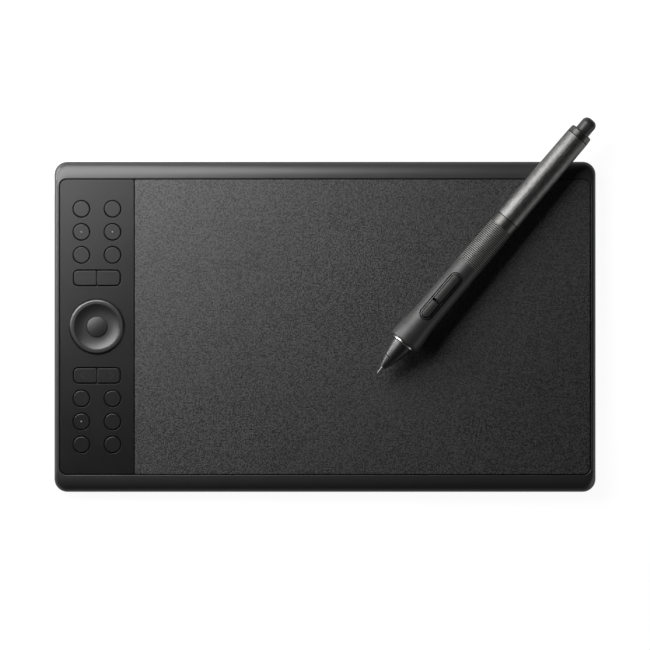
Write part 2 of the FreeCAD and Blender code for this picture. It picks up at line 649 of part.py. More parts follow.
def make_bottom_cover():
    """Lower cover: rounded underside, floor with ribs and posts, locating lip, screw and foot seats."""
    body = new_body("bottom_cover")
    start = S.case_corner - S.parting_step
    side, nose = S.under_side, S.under_nose
    step = S.parting_step
    band_sections(body, S.parting_height, S.case_base, step, side, nose, start, S.recess_corner)
    inside_x = CAVITY_X - S.lip_gap - S.lip_wall
    inside_y = CAVITY_Y - S.lip_gap - S.lip_wall
    inside_corner = S.cavity_corner - S.lip_gap - S.lip_wall
    lip = sketch_on(body, height=S.parting_height)
    lip_x, lip_y, lip_corner = (value + S.lip_wall for value in (inside_x, inside_y, inside_corner))
    rounded_box(lip, -lip_x, lip_x, -lip_y, lip_y, lip_corner)
    rounded_box(lip, -inside_x, inside_x, -inside_y, inside_y, inside_corner)
    pad(body, lip, S.lip_height)
    cavity = sketch_on(body, height=S.parting_height)
    rounded_box(cavity, -inside_x, inside_x, -inside_y, inside_y, inside_corner)
    pocket(body, cavity, S.parting_height - FLOOR)
    add_floor_ribs(body)
    posts = sketch_on(body, height=FLOOR)
    circle(posts, DIAL_X, 0, S.post_radius)
    for side in (-1, 1):
        for row in range(KEY_ROWS + 1):
            circle(posts, DIAL_X, side * (BAR_ROW + row * KEY_PITCH), S.post_radius)
    pad(body, posts, BOARD_BOTTOM - FLOOR)
    bosses = sketch_on(body, height=FLOOR)
    for x, y in SCREW_PLACES:
        circle(bosses, x, y, S.screw_head + S.head_fit + S.seat_wall)
    pad(body, bosses, S.boss_joint - FLOOR)
    bores = sketch_on(body, height=S.case_base)
    for x, y in SCREW_PLACES:
        circle(bores, x, y, S.screw_radius + S.screw_fit)
    pocket(body, bores, S.boss_joint - S.case_base, up=True)
    heads = sketch_on(body, height=S.case_base)
    for x, y in SCREW_PLACES:
        circle(heads, x, y, S.screw_head + S.head_fit)
    pocket(body, heads, S.screw_sunk + S.screw_head_thick, up=True)
    seats = sketch_on(body, height=S.case_base)
    for _, x, y in foot_places():
        foot_outline(seats, x, y, S.foot_gap)
    circle(seats, 0, 0, S.centre_foot_radius + S.foot_gap)
    pocket(body, seats, S.foot_sunk, up=True)
    cut_socket_mouth(body)
    return body


def add_floor_ribs(body):
    """Crossing ribs on the floor that carry the steel plate."""
    rise = STEEL_BOTTOM - FLOOR
    half = S.rib_thick / 2
    left, right = STEEL_LEFT + 2, STEEL_RIGHT - 2
    reach = STEEL_HALF - 2
    along = sketch_on(body, height=FLOOR)
    for index in range(LONG_RIBS):
        y = reach * (2 * index / (LONG_RIBS - 1) - 1) * 0.6
        box(along, left, right, y - half, y + half)
    pad(body, along, rise)
    across = sketch_on(body, height=FLOOR)
    for index in range(CROSS_RIBS):
        x = left + (right - left) * ((index + 0.5) / CROSS_RIBS)
        box(across, x - half, x + half, -reach, reach)
    pad(body, across, rise)


def foot_places():
    """Names and places of the corner feet."""
    return [
        (f"foot_{zone}_{side}", column * (HALF_LENGTH - S.foot_side), row * (HALF_DEPTH - S.foot_end))
        for zone, row in (("rear", 1), ("front", -1))
        for side, column in (("left", -1), ("right", 1))
    ]


def foot_outline(sketch, x, y, grow):
    """A corner foot's outline, grown all round."""
    long_half = S.foot_length / 2 + grow
    short_half = S.foot_width / 2 + grow
    stadium(sketch, x - long_half, x + long_half, y - short_half, y + short_half)


def make_feet():
    """Soft feet, each held in its seat in the underside."""
    feet = []
    for name, x, y in foot_places():
        body = new_body(name)
        sketch = sketch_on(body)
        foot_outline(sketch, 0, 0, size_of(0))
        pad(body, sketch, S.case_base + S.foot_sunk)
        round_edges(body, S.foot_round, lies_at(0))
        place(body, x, y)
        feet.append(body)
    body = new_body("foot_centre")
    sketch = sketch_on(body)
    circle(sketch, 0, 0, S.centre_foot_radius)
    pad(body, sketch, S.case_base + S.foot_sunk)
    round_edges(body, S.foot_round, lies_at(0))
    feet.append(body)
    return feet


def cross_outline(sketch, x, y):
    """The cross recess in a screw's head."""
    reach, half = S.drive_reach, S.drive_width / 2
    outline(
        sketch,
        (x + half, y + half),
        (x + half, y + reach),
        (x - half, y + reach),
        (x - half, y + half),
        (x - reach, y + half),
        (x - reach, y - half),
        (x - half, y - half),
        (x - half, y - reach),
        (x + half, y - reach),
        (x + half, y - half),
        (x + reach, y - half),
        (x + reach, y + half),
    )


def make_screws(name, places, base, head_radius, head_thick, shank_radius, length):
    """A set of equal screws driven upwards, their heads starting at a height."""
    body = new_body(name)
    heads = sketch_on(body, height=base)
    for x, y in places:
        circle(heads, x, y, head_radius)
    pad(body, heads, head_thick)
    drives = sketch_on(body, height=base)
    for x, y in places:
        cross_outline(drives, x, y)
    pocket(body, drives, S.drive_depth, up=True)
    shanks = sketch_on(body, height=base + head_thick)
    for x, y in places:
        circle(shanks, x, y, shank_radius)
    pad(body, shanks, length)
    return body


def make_case_screws():
    """Eight screws that hold the two covers together from below."""
    base = S.case_base + S.screw_sunk
    return make_screws(
        "case_screws",
        SCREW_PLACES,
        base,
        S.screw_head,
        S.screw_head_thick,
        S.screw_radius,
        S.screw_length,
    )


def make_board_screws():
    """Four screws that hold the key board and the guide frame to the deck."""
    return make_screws(
        "board_screws",
        BOARD_SCREW_PLACES,
        BOARD_BOTTOM - S.board_screw_head_thick,
        S.board_screw_head,
        S.board_screw_head_thick,
        S.board_screw_radius,
        DECK_BOTTOM + S.board_screw_bite - BOARD_BOTTOM,
    )


def make_work_surface():
    """Drawing sheet in the recess."""
    body = new_body("work_surface")
    sketch = sketch_on(body, height=DECK_TOP)
    left = DIVIDER + S.sheet_gap / 2
    right = RECESS_X - S.sheet_gap
    reach = RECESS_Y - S.sheet_gap
    end = S.recess_corner - S.sheet_gap
    rounded_box(sketch, left, right, -reach, reach, S.sheet_gap * 2, end)
    pad(body, sketch, SHEET_THICK)
    round_edges(body, S.sheet_round, lies_at(SHEET_TOP))
    return body


def make_key_panel():
    """Panel left of the drawing sheet, with openings for the keys and the dial."""
    body = new_body("key_panel")
    sketch = sketch_on(body, height=DECK_TOP)
    left = S.sheet_gap - RECESS_X
    right = DIVIDER - S.sheet_gap / 2
    reach = RECESS_Y - S.sheet_gap
    end = S.recess_corner - S.sheet_gap
    rounded_box(sketch, left, right, -reach, reach, end, S.sheet_gap * 2)
    pad(body, sketch, SHEET_THICK)
    holes = sketch_on(body, height=SHEET_TOP)
    for _, x, y in KEY_PLACES:
        circle(holes, x, y, KEY_HOLE)
    circle(holes, DIAL_X, 0, S.dial_radius + S.dial_gap)
    long_half, short_half = S.bar_length / 2, S.bar_depth / 2
    for side in (-1, 1):
        row = side * BAR_ROW
        low, high = row - short_half, row + short_half
        rounded_box(holes, DIAL_X - long_half, DIAL_X + long_half, low, high, S.bar_corner)
    pocket(body, holes, SHEET_THICK)
    round_edges(body, S.sheet_round, lies_at(SHEET_TOP))
    return body


def make_round_keys():
    """Twelve round keys, each a cap, a retaining flange and a stem."""
    keys = []
    for name, x, y in KEY_PLACES:
        body = new_body(name)
        sketch = sketch_on(body, "XZ_Plane")
        crown = [(0, KEY_TOP)]
        if name in BUMP_KEYS:
            radius = (S.bump_radius * S.bump_radius / S.bump_height + S.bump_height) / 2
            crown = [(S.bump_radius, KEY_TOP), (0, KEY_TOP + S.bump_height, radius, "left")]
        outline(
            sketch,
            (0, STEM_END),
            (S.stem_radius, STEM_END),
            (S.stem_radius, FLANGE_BOTTOM),
            (KEY_HOLE + S.flange_reach, FLANGE_BOTTOM),
            (KEY_HOLE + S.flange_reach, FLANGE_TOP),
            (S.key_radius, FLANGE_TOP),
            (S.key_radius, KEY_TOP - S.key_fall),
            (S.key_radius - S.key_slope, KEY_TOP),
            *crown,
        )
        turn(body, sketch)
        place(body, x, y)
        keys.append(body)
    return keys


def make_bar_keys():
    """Four bar keys, two to an opening; the front pair carries raised chevrons."""
    keys = []
    for name, column, row in BAR_PLACES:
        body = new_body(name)
        inner = S.key_gap / 2
        outer = S.bar_length / 2 - S.key_gap
        half = S.bar_depth / 2 - S.key_gap
        corner = S.bar_corner - S.key_gap
        reach = S.flange_reach + S.key_gap

        def bar(sketch, grow):
            far, side, end = outer + grow, half + grow, corner + grow
            if column < 0:
                rounded_box(sketch, -far, -inner, -side, side, end, S.key_gap)
            else:
                rounded_box(sketch, inner, far, -side, side, S.key_gap, end)

        flange = sketch_on(body, height=FLANGE_BOTTOM)
        bar(flange, reach)
        pad(body, flange, S.flange_thick)
        cap = sketch_on(body, height=FLANGE_TOP)
        bar(cap, 0)
        pad(body, cap, KEY_TOP - FLANGE_TOP)
        round_edges(body, S.bar_round, lies_at(KEY_TOP))
        stem = sketch_on(body, height=FLANGE_BOTTOM)
        circle(stem, column * BAR_STEM, 0, S.stem_radius)
        pad(body, stem, FLANGE_BOTTOM - STEM_END, down=True)
        if name.startswith("front"):
            sign = sketch_on(body, height=KEY_TOP)
            half, stroke = S.chevron_size, S.chevron_width
            point = S.chevron_at + (S.chevron_reach + stroke) / 2
            end = point - S.chevron_reach
            outline(
                sign,
                (column * point, 0),
                (column * end, half),
                (column * (end - stroke), half),
                (column * (point - stroke), 0),
                (column * (end - stroke), -half),
                (column * end, -half),
            )
            pad(body, sign, S.chevron_height)
        place(body, DIAL_X, row)
        keys.append(body)
    return keys


def make_guide_frame():
    """Frame under the deck that guides the key stems and stands on the key board with four posts."""
    body = new_body("key_guide_frame")
    sketch = sketch_on(body, height=GUIDE_BOTTOM)
    left = S.cavity_corner / 4 - RECESS_X
    reach = RECESS_Y - S.guide_end
    rounded_box(sketch, left, DIVIDER, -reach, reach, S.cavity_corner / 2)
    for _, x, y in KEY_PLACES:
        circle(sketch, x, y, S.stem_radius + S.stem_gap)
    for _, column, row in BAR_PLACES:
        circle(sketch, DIAL_X + column * BAR_STEM, row, S.stem_radius + S.stem_gap)
    circle(sketch, DIAL_X, 0, SLEEVE_OUTER + S.dial_gap)
    pad(body, sketch, S.guide_thick)
    posts = sketch_on(body, height=GUIDE_BOTTOM)
    for x, y in BOARD_SCREW_PLACES:
        circle(posts, x, y, S.post_radius)
    pad(body, posts, GUIDE_BOTTOM - S.board_top, down=True)
    bores = sketch_on(body, height=S.board_top)
    for x, y in BOARD_SCREW_PLACES:
        circle(bores, x, y, S.board_screw_radius + S.screw_fit)
    pocket(body, bores, DECK_BOTTOM - S.board_top, up=True)
    return body


def make_key_board():
    """Circuit board under the keys and the dial, notched at its back for the cable socket."""
    body = new_body("key_board")
    sketch = sketch_on(body, height=BOARD_BOTTOM)
    left = S.side_wall - S.lip_gap - CAVITY_X
    right = S.board_right - RECESS_X
    notch_x = S.socket_mouth + S.socket_deep + S.socket_gap - HALF_LENGTH
    notch_y = SOCKET_Y - S.socket_width / 2 - S.socket_gap
    front = S.board_front - RECESS_Y
    back = RECESS_Y - S.board_back
    outline(
        sketch,
        (left, front),
        (right, front),
        (right, back),
        (notch_x, back),
        (notch_x, notch_y),
        (left, notch_y),
    )
    for x, y in BOARD_SCREW_PLACES:
        circle(sketch, x, y, S.board_screw_radius + S.screw_fit)
    pad(body, sketch, S.board_thick)
    return body


def make_snap_domes():
    """Snap domes on the key board, one under each key and one under the dial's button."""
    body = new_body("snap_domes")
    sketch = sketch_on(body, height=S.board_top)
    circle(sketch, DIAL_X, 0, S.dome_radius)
    for _, x, y in KEY_PLACES:
        circle(sketch, x, y, S.dome_radius)
    for _, column, row in BAR_PLACES:
        circle(sketch, DIAL_X + column * BAR_STEM, row, S.dome_radius)
    pad(body, sketch, S.dome_height)
    round_edges(body, S.dome_height * 0.8, lies_at(S.board_top + S.dome_height))
    return body


def make_block(name, x_range, y_range, z_range):
    """A plain block between two places on each axis."""
    body = new_body(name)
    sketch = sketch_on(body, height=z_range[0])
    box(sketch, *x_range, *y_range)
    pad(body, sketch, z_range[1] - z_range[0])
    return body


def make_inner_pieces():
    """Boards, sheets and small parts between the two covers."""
    chip_x = S.board_right - S.chip_edge - RECESS_X
    middle = S.board_right - S.connector_edge - RECESS_X
    reader = DIAL_X + WHEEL_RADIUS - S.encoder_inset
    return [
        make_block(
            "sensor_board",
            (SENSOR_LEFT, SENSOR_RIGHT),
            (-SENSOR_HALF, SENSOR_HALF),
            (SENSOR_BOTTOM, DECK_BOTTOM),
        ),
        make_block(
            "shield_sheet",
            (SENSOR_LEFT + S.shield_inset, SENSOR_RIGHT - S.plate_inset),
            (S.plate_inset - SENSOR_HALF, SENSOR_HALF - S.plate_inset),
            (SHIELD_BOTTOM, SENSOR_BOTTOM),
        ),
        make_block(
            "stiffener_plate",
            (STEEL_LEFT, STEEL_RIGHT),
            (-STEEL_HALF, STEEL_HALF),
            (STEEL_BOTTOM, SHIELD_BOTTOM),
        ),
        make_block(
            "controller_chip",
            (chip_x - S.chip_size / 2, chip_x + S.chip_size / 2),
            (-BAR_ROW - S.chip_size, -BAR_ROW),
            (S.board_top, S.board_top + S.chip_thick),
        ),
        make_block(
            "board_connector",
            (middle - S.connector_width / 2, middle + S.connector_width / 2),
            (-S.connector_length / 2, S.connector_length / 2),
            (S.board_top, SENSOR_BOTTOM),
        ),
        make_block(
            "encoder_sensor",
            (reader - S.encoder_size / 2, reader + S.encoder_size / 2),
            (-S.encoder_size / 2, S.encoder_size / 2),
            (S.board_top, S.board_top + S.encoder_thick),
        ),
    ]


SLEEVE_INNER = S.hub_bore + S.hub_wall + S.hub_gap
SLEEVE_OUTER = SLEEVE_INNER + S.sleeve_wall
DIAL_CREST = SHEET_TOP + S.dial_height
DISH_EDGE = DIAL_CREST - S.dish_edge_drop
DISH_LOW = DISH_EDGE - S.dish_depth
PLATE_UNDER = DISH_LOW - S.plate_thick
WHEEL_BOTTOM = S.board_top + S.wheel_height


def crest_radius(run, fall):
    """Radius of an arc that is level at one end and falls over a run."""
    return (run * run + fall * fall) / (fall * 2)


def make_dial_ring():
    """Dial: rounded rim, concave dish, hidden flange under the panel and a sleeve on the hub."""
    body = new_body("dial_ring")
    sketch = sketch_on(body, "XZ_Plane")
    base = DECK_BOTTOM + S.dial_float
    inner_wall = S.dial_radius - S.dial_wall
    rim_inner = S.dial_radius - S.rim_width
    flank = S.dial_radius - S.rim_flank
    dish = rim_inner - S.rim_joint
    outline(
        sketch,
        (S.dial_hole, PLATE_UNDER),
        (SLEEVE_INNER, PLATE_UNDER),
        (SLEEVE_INNER, WHEEL_BOTTOM),
        (SLEEVE_OUTER, WHEEL_BOTTOM),
        (SLEEVE_OUTER, PLATE_UNDER),
        (inner_wall, PLATE_UNDER),
        (inner_wall, base),
        (S.dial_radius + S.dial_flange_reach, base),
        (S.dial_radius + S.dial_flange_reach, base + S.dial_flange_thick),
        (S.dial_radius, base + S.dial_flange_thick),
        (S.dial_radius, DIAL_CREST - S.rim_fall),
        (flank, DIAL_CREST, crest_radius(S.rim_flank, S.rim_fall), "left"),
        (rim_inner + S.rim_edge, DIAL_CREST),
        (rim_inner, DISH_EDGE, crest_radius(S.rim_edge, S.dish_edge_drop), "left"),
        (rim_inner, DISH_EDGE - S.rim_joint * 2),
        (dish, DISH_EDGE - S.rim_joint * 2),
        (dish, DISH_EDGE),
        (S.dial_hole, DISH_LOW, crest_radius(dish - S.dial_hole, S.dish_depth), "right"),
    )
    turn(body, sketch)
    place(body, DIAL_X, 0)
    return body


def make_encoder_wheel():
    """Notched wheel on the dial's sleeve that the encoder sensor reads."""
    body = new_body("encoder_wheel")
    sketch = sketch_on(body, height=WHEEL_BOTTOM)
    circle(sketch, 0, 0, WHEEL_RADIUS)
    circle(sketch, 0, 0, SLEEVE_OUTER + S.screw_fit)
    pad(body, sketch, S.wheel_thick)
    notches = sketch_on(body, height=WHEEL_BOTTOM)
    for index in range(WHEEL_NOTCHES):
        angle = 2 * math.pi * index / WHEEL_NOTCHES
        x = WHEEL_RADIUS * math.cos(angle)
        y = WHEEL_RADIUS * math.sin(angle)
        circle(notches, x, y, S.notch_depth / 2)
    pocket(body, notches, S.wheel_thick, up=True)
    place(body, DIAL_X, 0)
    return body


def make_dial_button():
    """Domed button in the middle of the dial, guided in the fixed hub."""
    body = new_body("dial_button")
    sketch = sketch_on(body, "XZ_Plane")
    edge = S.dial_hole - S.button_shoulder
    shoulder = PLATE_UNDER - S.flange_gap
    rim = DISH_LOW + S.button_round
    foot = shoulder - S.flange_thick
    outline(
        sketch,
        (0, STEM_END),
        (S.stem_radius, STEM_END),
        (S.stem_radius, foot),
        (S.hub_bore - S.hub_gap, foot),
        (S.hub_bore - S.hub_gap, shoulder),
        (edge, shoulder),
        (edge, rim - S.button_round),
        (edge - S.button_round, rim, S.button_round, "left"),
        (0, rim + S.button_dome, crest_radius(edge - S.button_round, S.button_dome), "left"),
    )
    turn(body, sketch)
    place(body, DIAL_X, 0)
    return body


def make_dial_hub():
    """Fixed hub on the key board that the dial turns on."""
    body = new_body("dial_hub")
    sketch = sketch_on(body, "XZ_Plane")
    outer = S.hub_bore + S.hub_wall
    top = PLATE_UNDER - S.dial_float
    outline(
        sketch,
        (S.hub_bore, S.board_top),
        (outer + S.hub_base, S.board_top),
        (outer + S.hub_base, S.board_top + S.hub_base_thick),
        (outer, S.board_top + S.hub_base_thick),
        (outer, top),
        (S.hub_bore, top),
    )
    turn(body, sketch)
    place(body, DIAL_X, 0)
    return body


def make_usb_socket():
    """Cable socket: steel shell with its rear wall, contact tongue and two solder tabs."""
    body = new_body("usb_socket")
    mouth = S.socket_mouth - HALF_LENGTH
    back = mouth + S.socket_deep
    half, tall = S.socket_width / 2, S.socket_tall / 2
    y, z = SOCKET_Y, S.socket_height
    shell = sketch_on(body, "YZ_Plane", mouth)
    stadium(shell, y - half, y + half, z - tall, z + tall)
    pad(body, shell, S.socket_deep)
    hollow = sketch_on(body, "YZ_Plane", mouth)
    inner_half, inner_tall = half - S.socket_wall, tall - S.socket_wall
    stadium(hollow, y - inner_half, y + inner_half, z - inner_tall, z + inner_tall)
    pocket(body, hollow, S.socket_deep - S.socket_back, up=True)
    tongue = sketch_on(body, "YZ_Plane", back - S.socket_back)
    tongue_half, tongue_tall = S.tongue_width / 2, S.tongue_thick / 2
    box(tongue, y - tongue_half, y + tongue_half, z - tongue_tall, z + tongue_tall)
    pad(body, tongue, S.tongue_length, down=True)
    tabs = sketch_on(body, height=S.board_top)
    box(tabs, back - S.socket_wall, back + S.tab_reach, y - half + S.tab_length, y - S.socket_wall)
    pad(body, tabs, S.tab_thick)
    side_tab = sketch_on(body, height=S.board_top)
    side = y - half
    right = back - S.tab_reach
    box(side_tab, right - S.tab_length, right, side - S.tab_reach, side + S.socket_wall * 2)
    pad(body, side_tab, S.tab_thick)
    return body


# The pen. Its pieces are drawn along +X from the tip, with the side switch facing +Z.


def sine(angle):
    """Sine of a size in degrees."""
    return Size(math.sin(math.radians(angle.number)), f"sin({angle.text})")


def pen_placement():
    """Where the pen lies: its flare on the sheet and its barrel on the case's back rim."""
    across = S.pen_tip_y / sine(S.pen_heading)
    taper = (S.barrel_front - S.barrel_back) / (S.barrel_end - S.collar_end)
    rear_radius = S.barrel_front - (across - S.collar_end) * taper
    front_height = SHEET_TOP + S.grip_widest + S.pen_clearance
    rear_height = S.case_top + rear_radius + S.pen_clearance
    slope = (front_height - rear_height) / (across - S.grip_widest_at)
    tip_height = front_height + slope * S.grip_widest_at
    tip_x, tip_y = RECESS_X - S.pen_tip_x, RECESS_Y - S.pen_tip_y
    base = f"vector({tip_x.text}; {tip_y.text}; {tip_height.text})"
    roll = -S.pen_roll
    return f"placement({base}; rotation({S.pen_heading.text}; atan({slope.text}); {roll.text}))"


PEN_PLACEMENT = pen_placement()
SWITCH_LEFT = S.switch_front_at + S.bezel_wall + S.switch_gap
SWITCH_RIGHT = S.switch_back_at - S.bezel_wall - S.switch_gap
BUTTON_HALF = S.switch_half - S.bezel_wall - S.switch_gap
BUTTON_FLANGE_TOP = S.switch_floor - S.flange_gap
BUTTON_FLANGE_BOTTOM = BUTTON_FLANGE_TOP - S.flange_slim
PEN_BOARD_TOP = S.pen_board_thick / 2
ERASER_BACK = S.barrel_end - S.cap_spigot - S.pen_fit
ERASER_FRONT = ERASER_BACK - S.eraser_flange_thick
ERASER_SENSOR_END = ERASER_FRONT - S.eraser_travel - S.eraser_play


def turned(name, *points):
    """A pen piece turned about the pen's axis from its half section."""
    body = new_body(name)
    sketch = sketch_on(body, "XZ_Plane")
    outline(sketch, *points)
    turn(body, sketch, "H_Axis")
    body.setExpression("Placement", PEN_PLACEMENT)
    return body


def make_nib():
    """Nib that slides in the nose and presses on its sensor."""
    return turned(
        "pen_nib",
        (S.nib_end, 0),
        (S.nib_end, S.nib_radius),
        (S.nib_taper, S.nib_radius),
        (S.nib_point, S.nib_point),
        (0, 0, S.nib_point, "left"),
    )


def make_nose():
    """Nose in two pieces, and the bright ring behind it."""
    bevel = S.seam_chamfer
    spigot_end = S.nose_seam + S.tip_spigot_length
    tip = turned(
        "pen_nose_tip",
        (S.nib_out, S.nose_bore),
        (spigot_end, S.nose_bore),
        (spigot_end, S.tip_spigot),
        (S.nose_seam, S.tip_spigot),
        (S.nose_seam, S.nose_seam_radius - bevel),
        (S.nose_seam - bevel, S.nose_seam_radius),
        (S.nib_out + bevel, S.nose_tip_radius, S.nose_curve, "left"),
        (S.nib_out, S.nose_tip_radius - bevel),
    )
    spigot = S.tube_bore - S.pen_fit
    cone = turned(
        "pen_nose_cone",
        (S.nose_seam, S.tip_spigot + S.pen_fit),
        (spigot_end + S.pen_fit, S.tip_spigot + S.pen_fit),
        (spigot_end + S.pen_fit, S.coil_chamber),
        (S.cone_spigot_end, S.coil_chamber),
        (S.cone_spigot_end, spigot),
        (S.nose_end, spigot),
        (S.nose_end, S.nose_end_radius - bevel),
        (S.nose_end - bevel, S.nose_end_radius),
        (S.nose_seam + bevel, S.nose_seam_radius, S.nose_curve, "left"),
        (S.nose_seam, S.nose_seam_radius - bevel),
    )
    edge = bevel * 2
    ring = turned(
        "pen_nose_ring",
        (S.nose_end, S.tube_bore),
        (S.ring_end, S.tube_bore),
        (S.ring_end, S.ring_radius - edge),
        (S.ring_end - edge, S.ring_radius, edge, "left"),
        (S.nose_end + edge, S.ring_radius),
        (S.nose_end, S.ring_radius - edge, edge, "left"),
    )
    return [tip, cone, ring]


def cut_switch_opening(body, gap):
    """Opens a pen piece for the side switch, with a ledge under the switch frame."""
    top = S.grip_widest + 1
    for shrink, floor in ((-gap, S.switch_floor), (S.slot_ledge, S.slot_floor)):
        half = S.switch_half - shrink
        sketch = sketch_on(body, height=top)
        stadium(sketch, S.switch_front_at + shrink, S.switch_back_at - shrink, -half, half)
        pocket(body, sketch, top - floor)


def make_grip():
    """Inner tube of the pen and the soft grip round it."""
    tube = turned(
        "pen_tube",
        (S.ring_end, S.tube_bore),
        (S.tube_end, S.tube_bore),
        (S.tube_end, S.tube_radius),
        (S.ring_end, S.tube_radius),
    )
    cut_switch_opening(tube, S.pen_fit)
    bevel = S.seam_chamfer
    hollow = crest_radius(S.grip_waist_at - S.grip_turn_at, S.grip_turn - S.grip_waist)
    shoulder = crest_radius(S.grip_turn_at - S.grip_widest_at, S.grip_widest - S.grip_turn)
    front = crest_radius(S.grip_widest_at - S.ring_end, S.grip_widest - S.grip_shoulder)
    grip = turned(
        "pen_grip",
        (S.ring_end, S.tube_radius + S.pen_fit),
        (S.grip_end_at, S.tube_radius + S.pen_fit),
        (S.grip_end_at, S.grip_end - bevel),
        (S.grip_end_at - bevel, S.grip_end),
        (S.grip_waist_at, S.grip_waist),
        (S.grip_turn_at, S.grip_turn, hollow, "right"),
        (S.grip_widest_at, S.grip_widest, shoulder, "left"),
        (S.ring_end, S.grip_shoulder, front, "left"),
    )
    cut_switch_opening(grip, S.bezel_gap)
    return [tube, grip]


def trim_to_grip(body, proud):
    """Cuts a switch piece to the grip's own roundness, a little proud of it."""
    slope = (S.grip_waist - S.grip_end) / (S.grip_end_at - S.grip_waist_at)
    left, right = S.switch_front_at - 1, S.switch_back_at + 1
    start = S.grip_waist + (S.grip_waist_at - left) * slope + proud
    end = S.grip_waist - (right - S.grip_waist_at) * slope + proud
    outside = S.grip_widest * 2
    sketch = sketch_on(body, "XZ_Plane")
    outline(sketch, (left, start), (right, end), (right, outside), (left, outside))
    turn(body, sketch, "H_Axis", cut=True)


def make_switch_bezel():
    """Frame round the two side buttons."""
    body = new_body("pen_switch_bezel")
    rise = S.grip_widest + 1 - S.switch_floor
    sketch = sketch_on(body, height=S.switch_floor)
    stadium(sketch, S.switch_front_at, S.switch_back_at, -S.switch_half, S.switch_half)
    wall = S.bezel_wall
    half = S.switch_half - wall
    stadium(sketch, S.switch_front_at + wall, S.switch_back_at - wall, -half, half)
    pad(body, sketch, rise)
    trim_to_grip(body, S.bezel_proud)
    body.setExpression("Placement", PEN_PLACEMENT)
    return body


def button_outline(sketch, tip, end, grow):
    """One side button seen from above: a round end at the tip and a square end with small corners."""
    way = 1 if end.number > tip.number else -1
    side = "left" if way > 0 else "right"
    half = BUTTON_HALF + grow
    corner = S.switch_corner + grow
    tip = tip - way * grow
    end = end + way * grow
    outline(
        sketch,
        (end - way * corner, -half),
        (end, corner - half, corner, side),
        (end, half - corner),
        (end - way * corner, half, corner, side),
        (tip + way * half, half),
        (tip, 0, half, side),
        (tip + way * half, -half, half, side),
    )


def make_side_buttons():
    """Front and rear button of the side switch, each with a flange and a stem."""
    buttons = []
    for name, tip, end in (
        ("pen_switch_front", SWITCH_LEFT, S.switch_split_at - S.switch_split / 2),
        ("pen_switch_rear", SWITCH_RIGHT, S.switch_split_at + S.switch_split / 2),
    ):
        body = new_body(name)
        cap = sketch_on(body, height=BUTTON_FLANGE_TOP)
        button_outline(cap, tip, end, size_of(0))
        pad(body, cap, S.grip_widest + 1 - BUTTON_FLANGE_TOP)
        trim_to_grip(body, S.switch_proud)
        crown = S.switch_floor.number + 1
        round_edges(body, S.switch_round, lambda edge: edge.BoundBox.ZMin > crown)
        flange = sketch_on(body, height=BUTTON_FLANGE_BOTTOM)
        button_outline(flange, tip, end, S.switch_flange)
        pad(body, flange, S.flange_slim)
        stem = sketch_on(body, height=BUTTON_FLANGE_BOTTOM)
        circle(stem, (tip + end) / 2, 0, S.button_stem)
        bottom = PEN_BOARD_TOP + S.tact_height + S.switch_travel + S.press_gap
        pad(body, stem, BUTTON_FLANGE_BOTTOM - bottom, down=True)
        body.setExpression("Placement", PEN_PLACEMENT)
        buttons.append(body)
    return buttons


def make_ribbed_sleeve():
    """Turned sleeve with fine ribs behind the grip."""
    length = S.rib_band_end - S.grip_end_at
    fall = (S.rib_band_radius - S.barrel_front) / length
    margin = (length - S.rib_pitch * RIB_GROOVES) / 2 + (S.rib_pitch - S.rib_groove) / 2

    def crest(along):
        return S.rib_band_radius - (along - S.grip_end_at) * fall

    inside = S.tube_radius + S.pen_fit
    points = [
        (S.grip_end_at, inside),
        (S.rib_band_end, inside),
        (S.rib_band_end, S.barrel_front),
    ]
    for index in reversed(range(RIB_GROOVES)):
        start = S.grip_end_at + margin + S.rib_pitch * index
        end = start + S.rib_groove
        floor = crest(start) - S.rib_depth
        points += [
            (end, crest(end)),
            (end - S.rib_slope, floor),
            (start + S.rib_slope, floor),
            (start, crest(start)),
        ]
    points.append((S.grip_end_at, S.rib_band_radius))
    return turned("pen_ribbed_sleeve", *points)


def make_barrel():
    """Metal ring, barrel and end collar of the pen."""
    bevel = S.seam_chamfer
    inside = S.tube_radius + S.pen_fit
    ring = turned(
        "pen_barrel_ring",
        (S.rib_band_end, inside),
        (S.collar_end, inside),
        (S.collar_end, S.barrel_front - bevel),
        (S.collar_end - bevel, S.barrel_front),
        (S.rib_band_end + bevel, S.barrel_front),
        (S.rib_band_end, S.barrel_front - bevel),
    )
    barrel = turned(
        "pen_barrel",
        (S.collar_end, inside),
        (S.tube_end + S.pen_fit, inside),
        (S.tube_end + S.pen_fit, S.barrel_bore),
        (S.barrel_end, S.barrel_bore),
        (S.barrel_end, S.barrel_back - bevel),
        (S.barrel_end - bevel, S.barrel_back),
        (S.collar_end + bevel, S.barrel_front),
        (S.collar_end, S.barrel_front - bevel),
    )
    front = S.barrel_end - S.cap_spigot
    hole = S.eraser_radius + S.eraser_gap
    collar = turned(
        "pen_end_collar",
        (front, hole),
        (S.cap_end, hole),
        (S.cap_end, S.cap_back - S.cap_round),
        (S.cap_end - S.cap_round, S.cap_back, S.cap_round, "left"),
        (S.barrel_end + bevel, S.barrel_back),
        (S.barrel_end, S.barrel_back - bevel),
        (S.barrel_end, S.barrel_bore - S.pen_fit),
        (front, S.barrel_bore - S.pen_fit),
    )
    return [ring, barrel, collar]


def make_eraser():
    """Eraser that slides in the end collar and presses on its own sensor."""
    stem_end = ERASER_SENSOR_END - S.stem_reach
    flange = S.barrel_bore - S.hub_gap
    return turned(
        "pen_eraser",
        (stem_end, 0),
        (S.pen_length, 0),
        (S.pen_length, S.eraser_radius - S.eraser_round),
        (S.pen_length - S.eraser_round, S.eraser_radius, S.eraser_round, "left"),
        (ERASER_BACK, S.eraser_radius),
        (ERASER_BACK, flange),
        (ERASER_FRONT, flange),
        (ERASER_FRONT, S.eraser_stem),
        (stem_end, S.eraser_stem),
    )


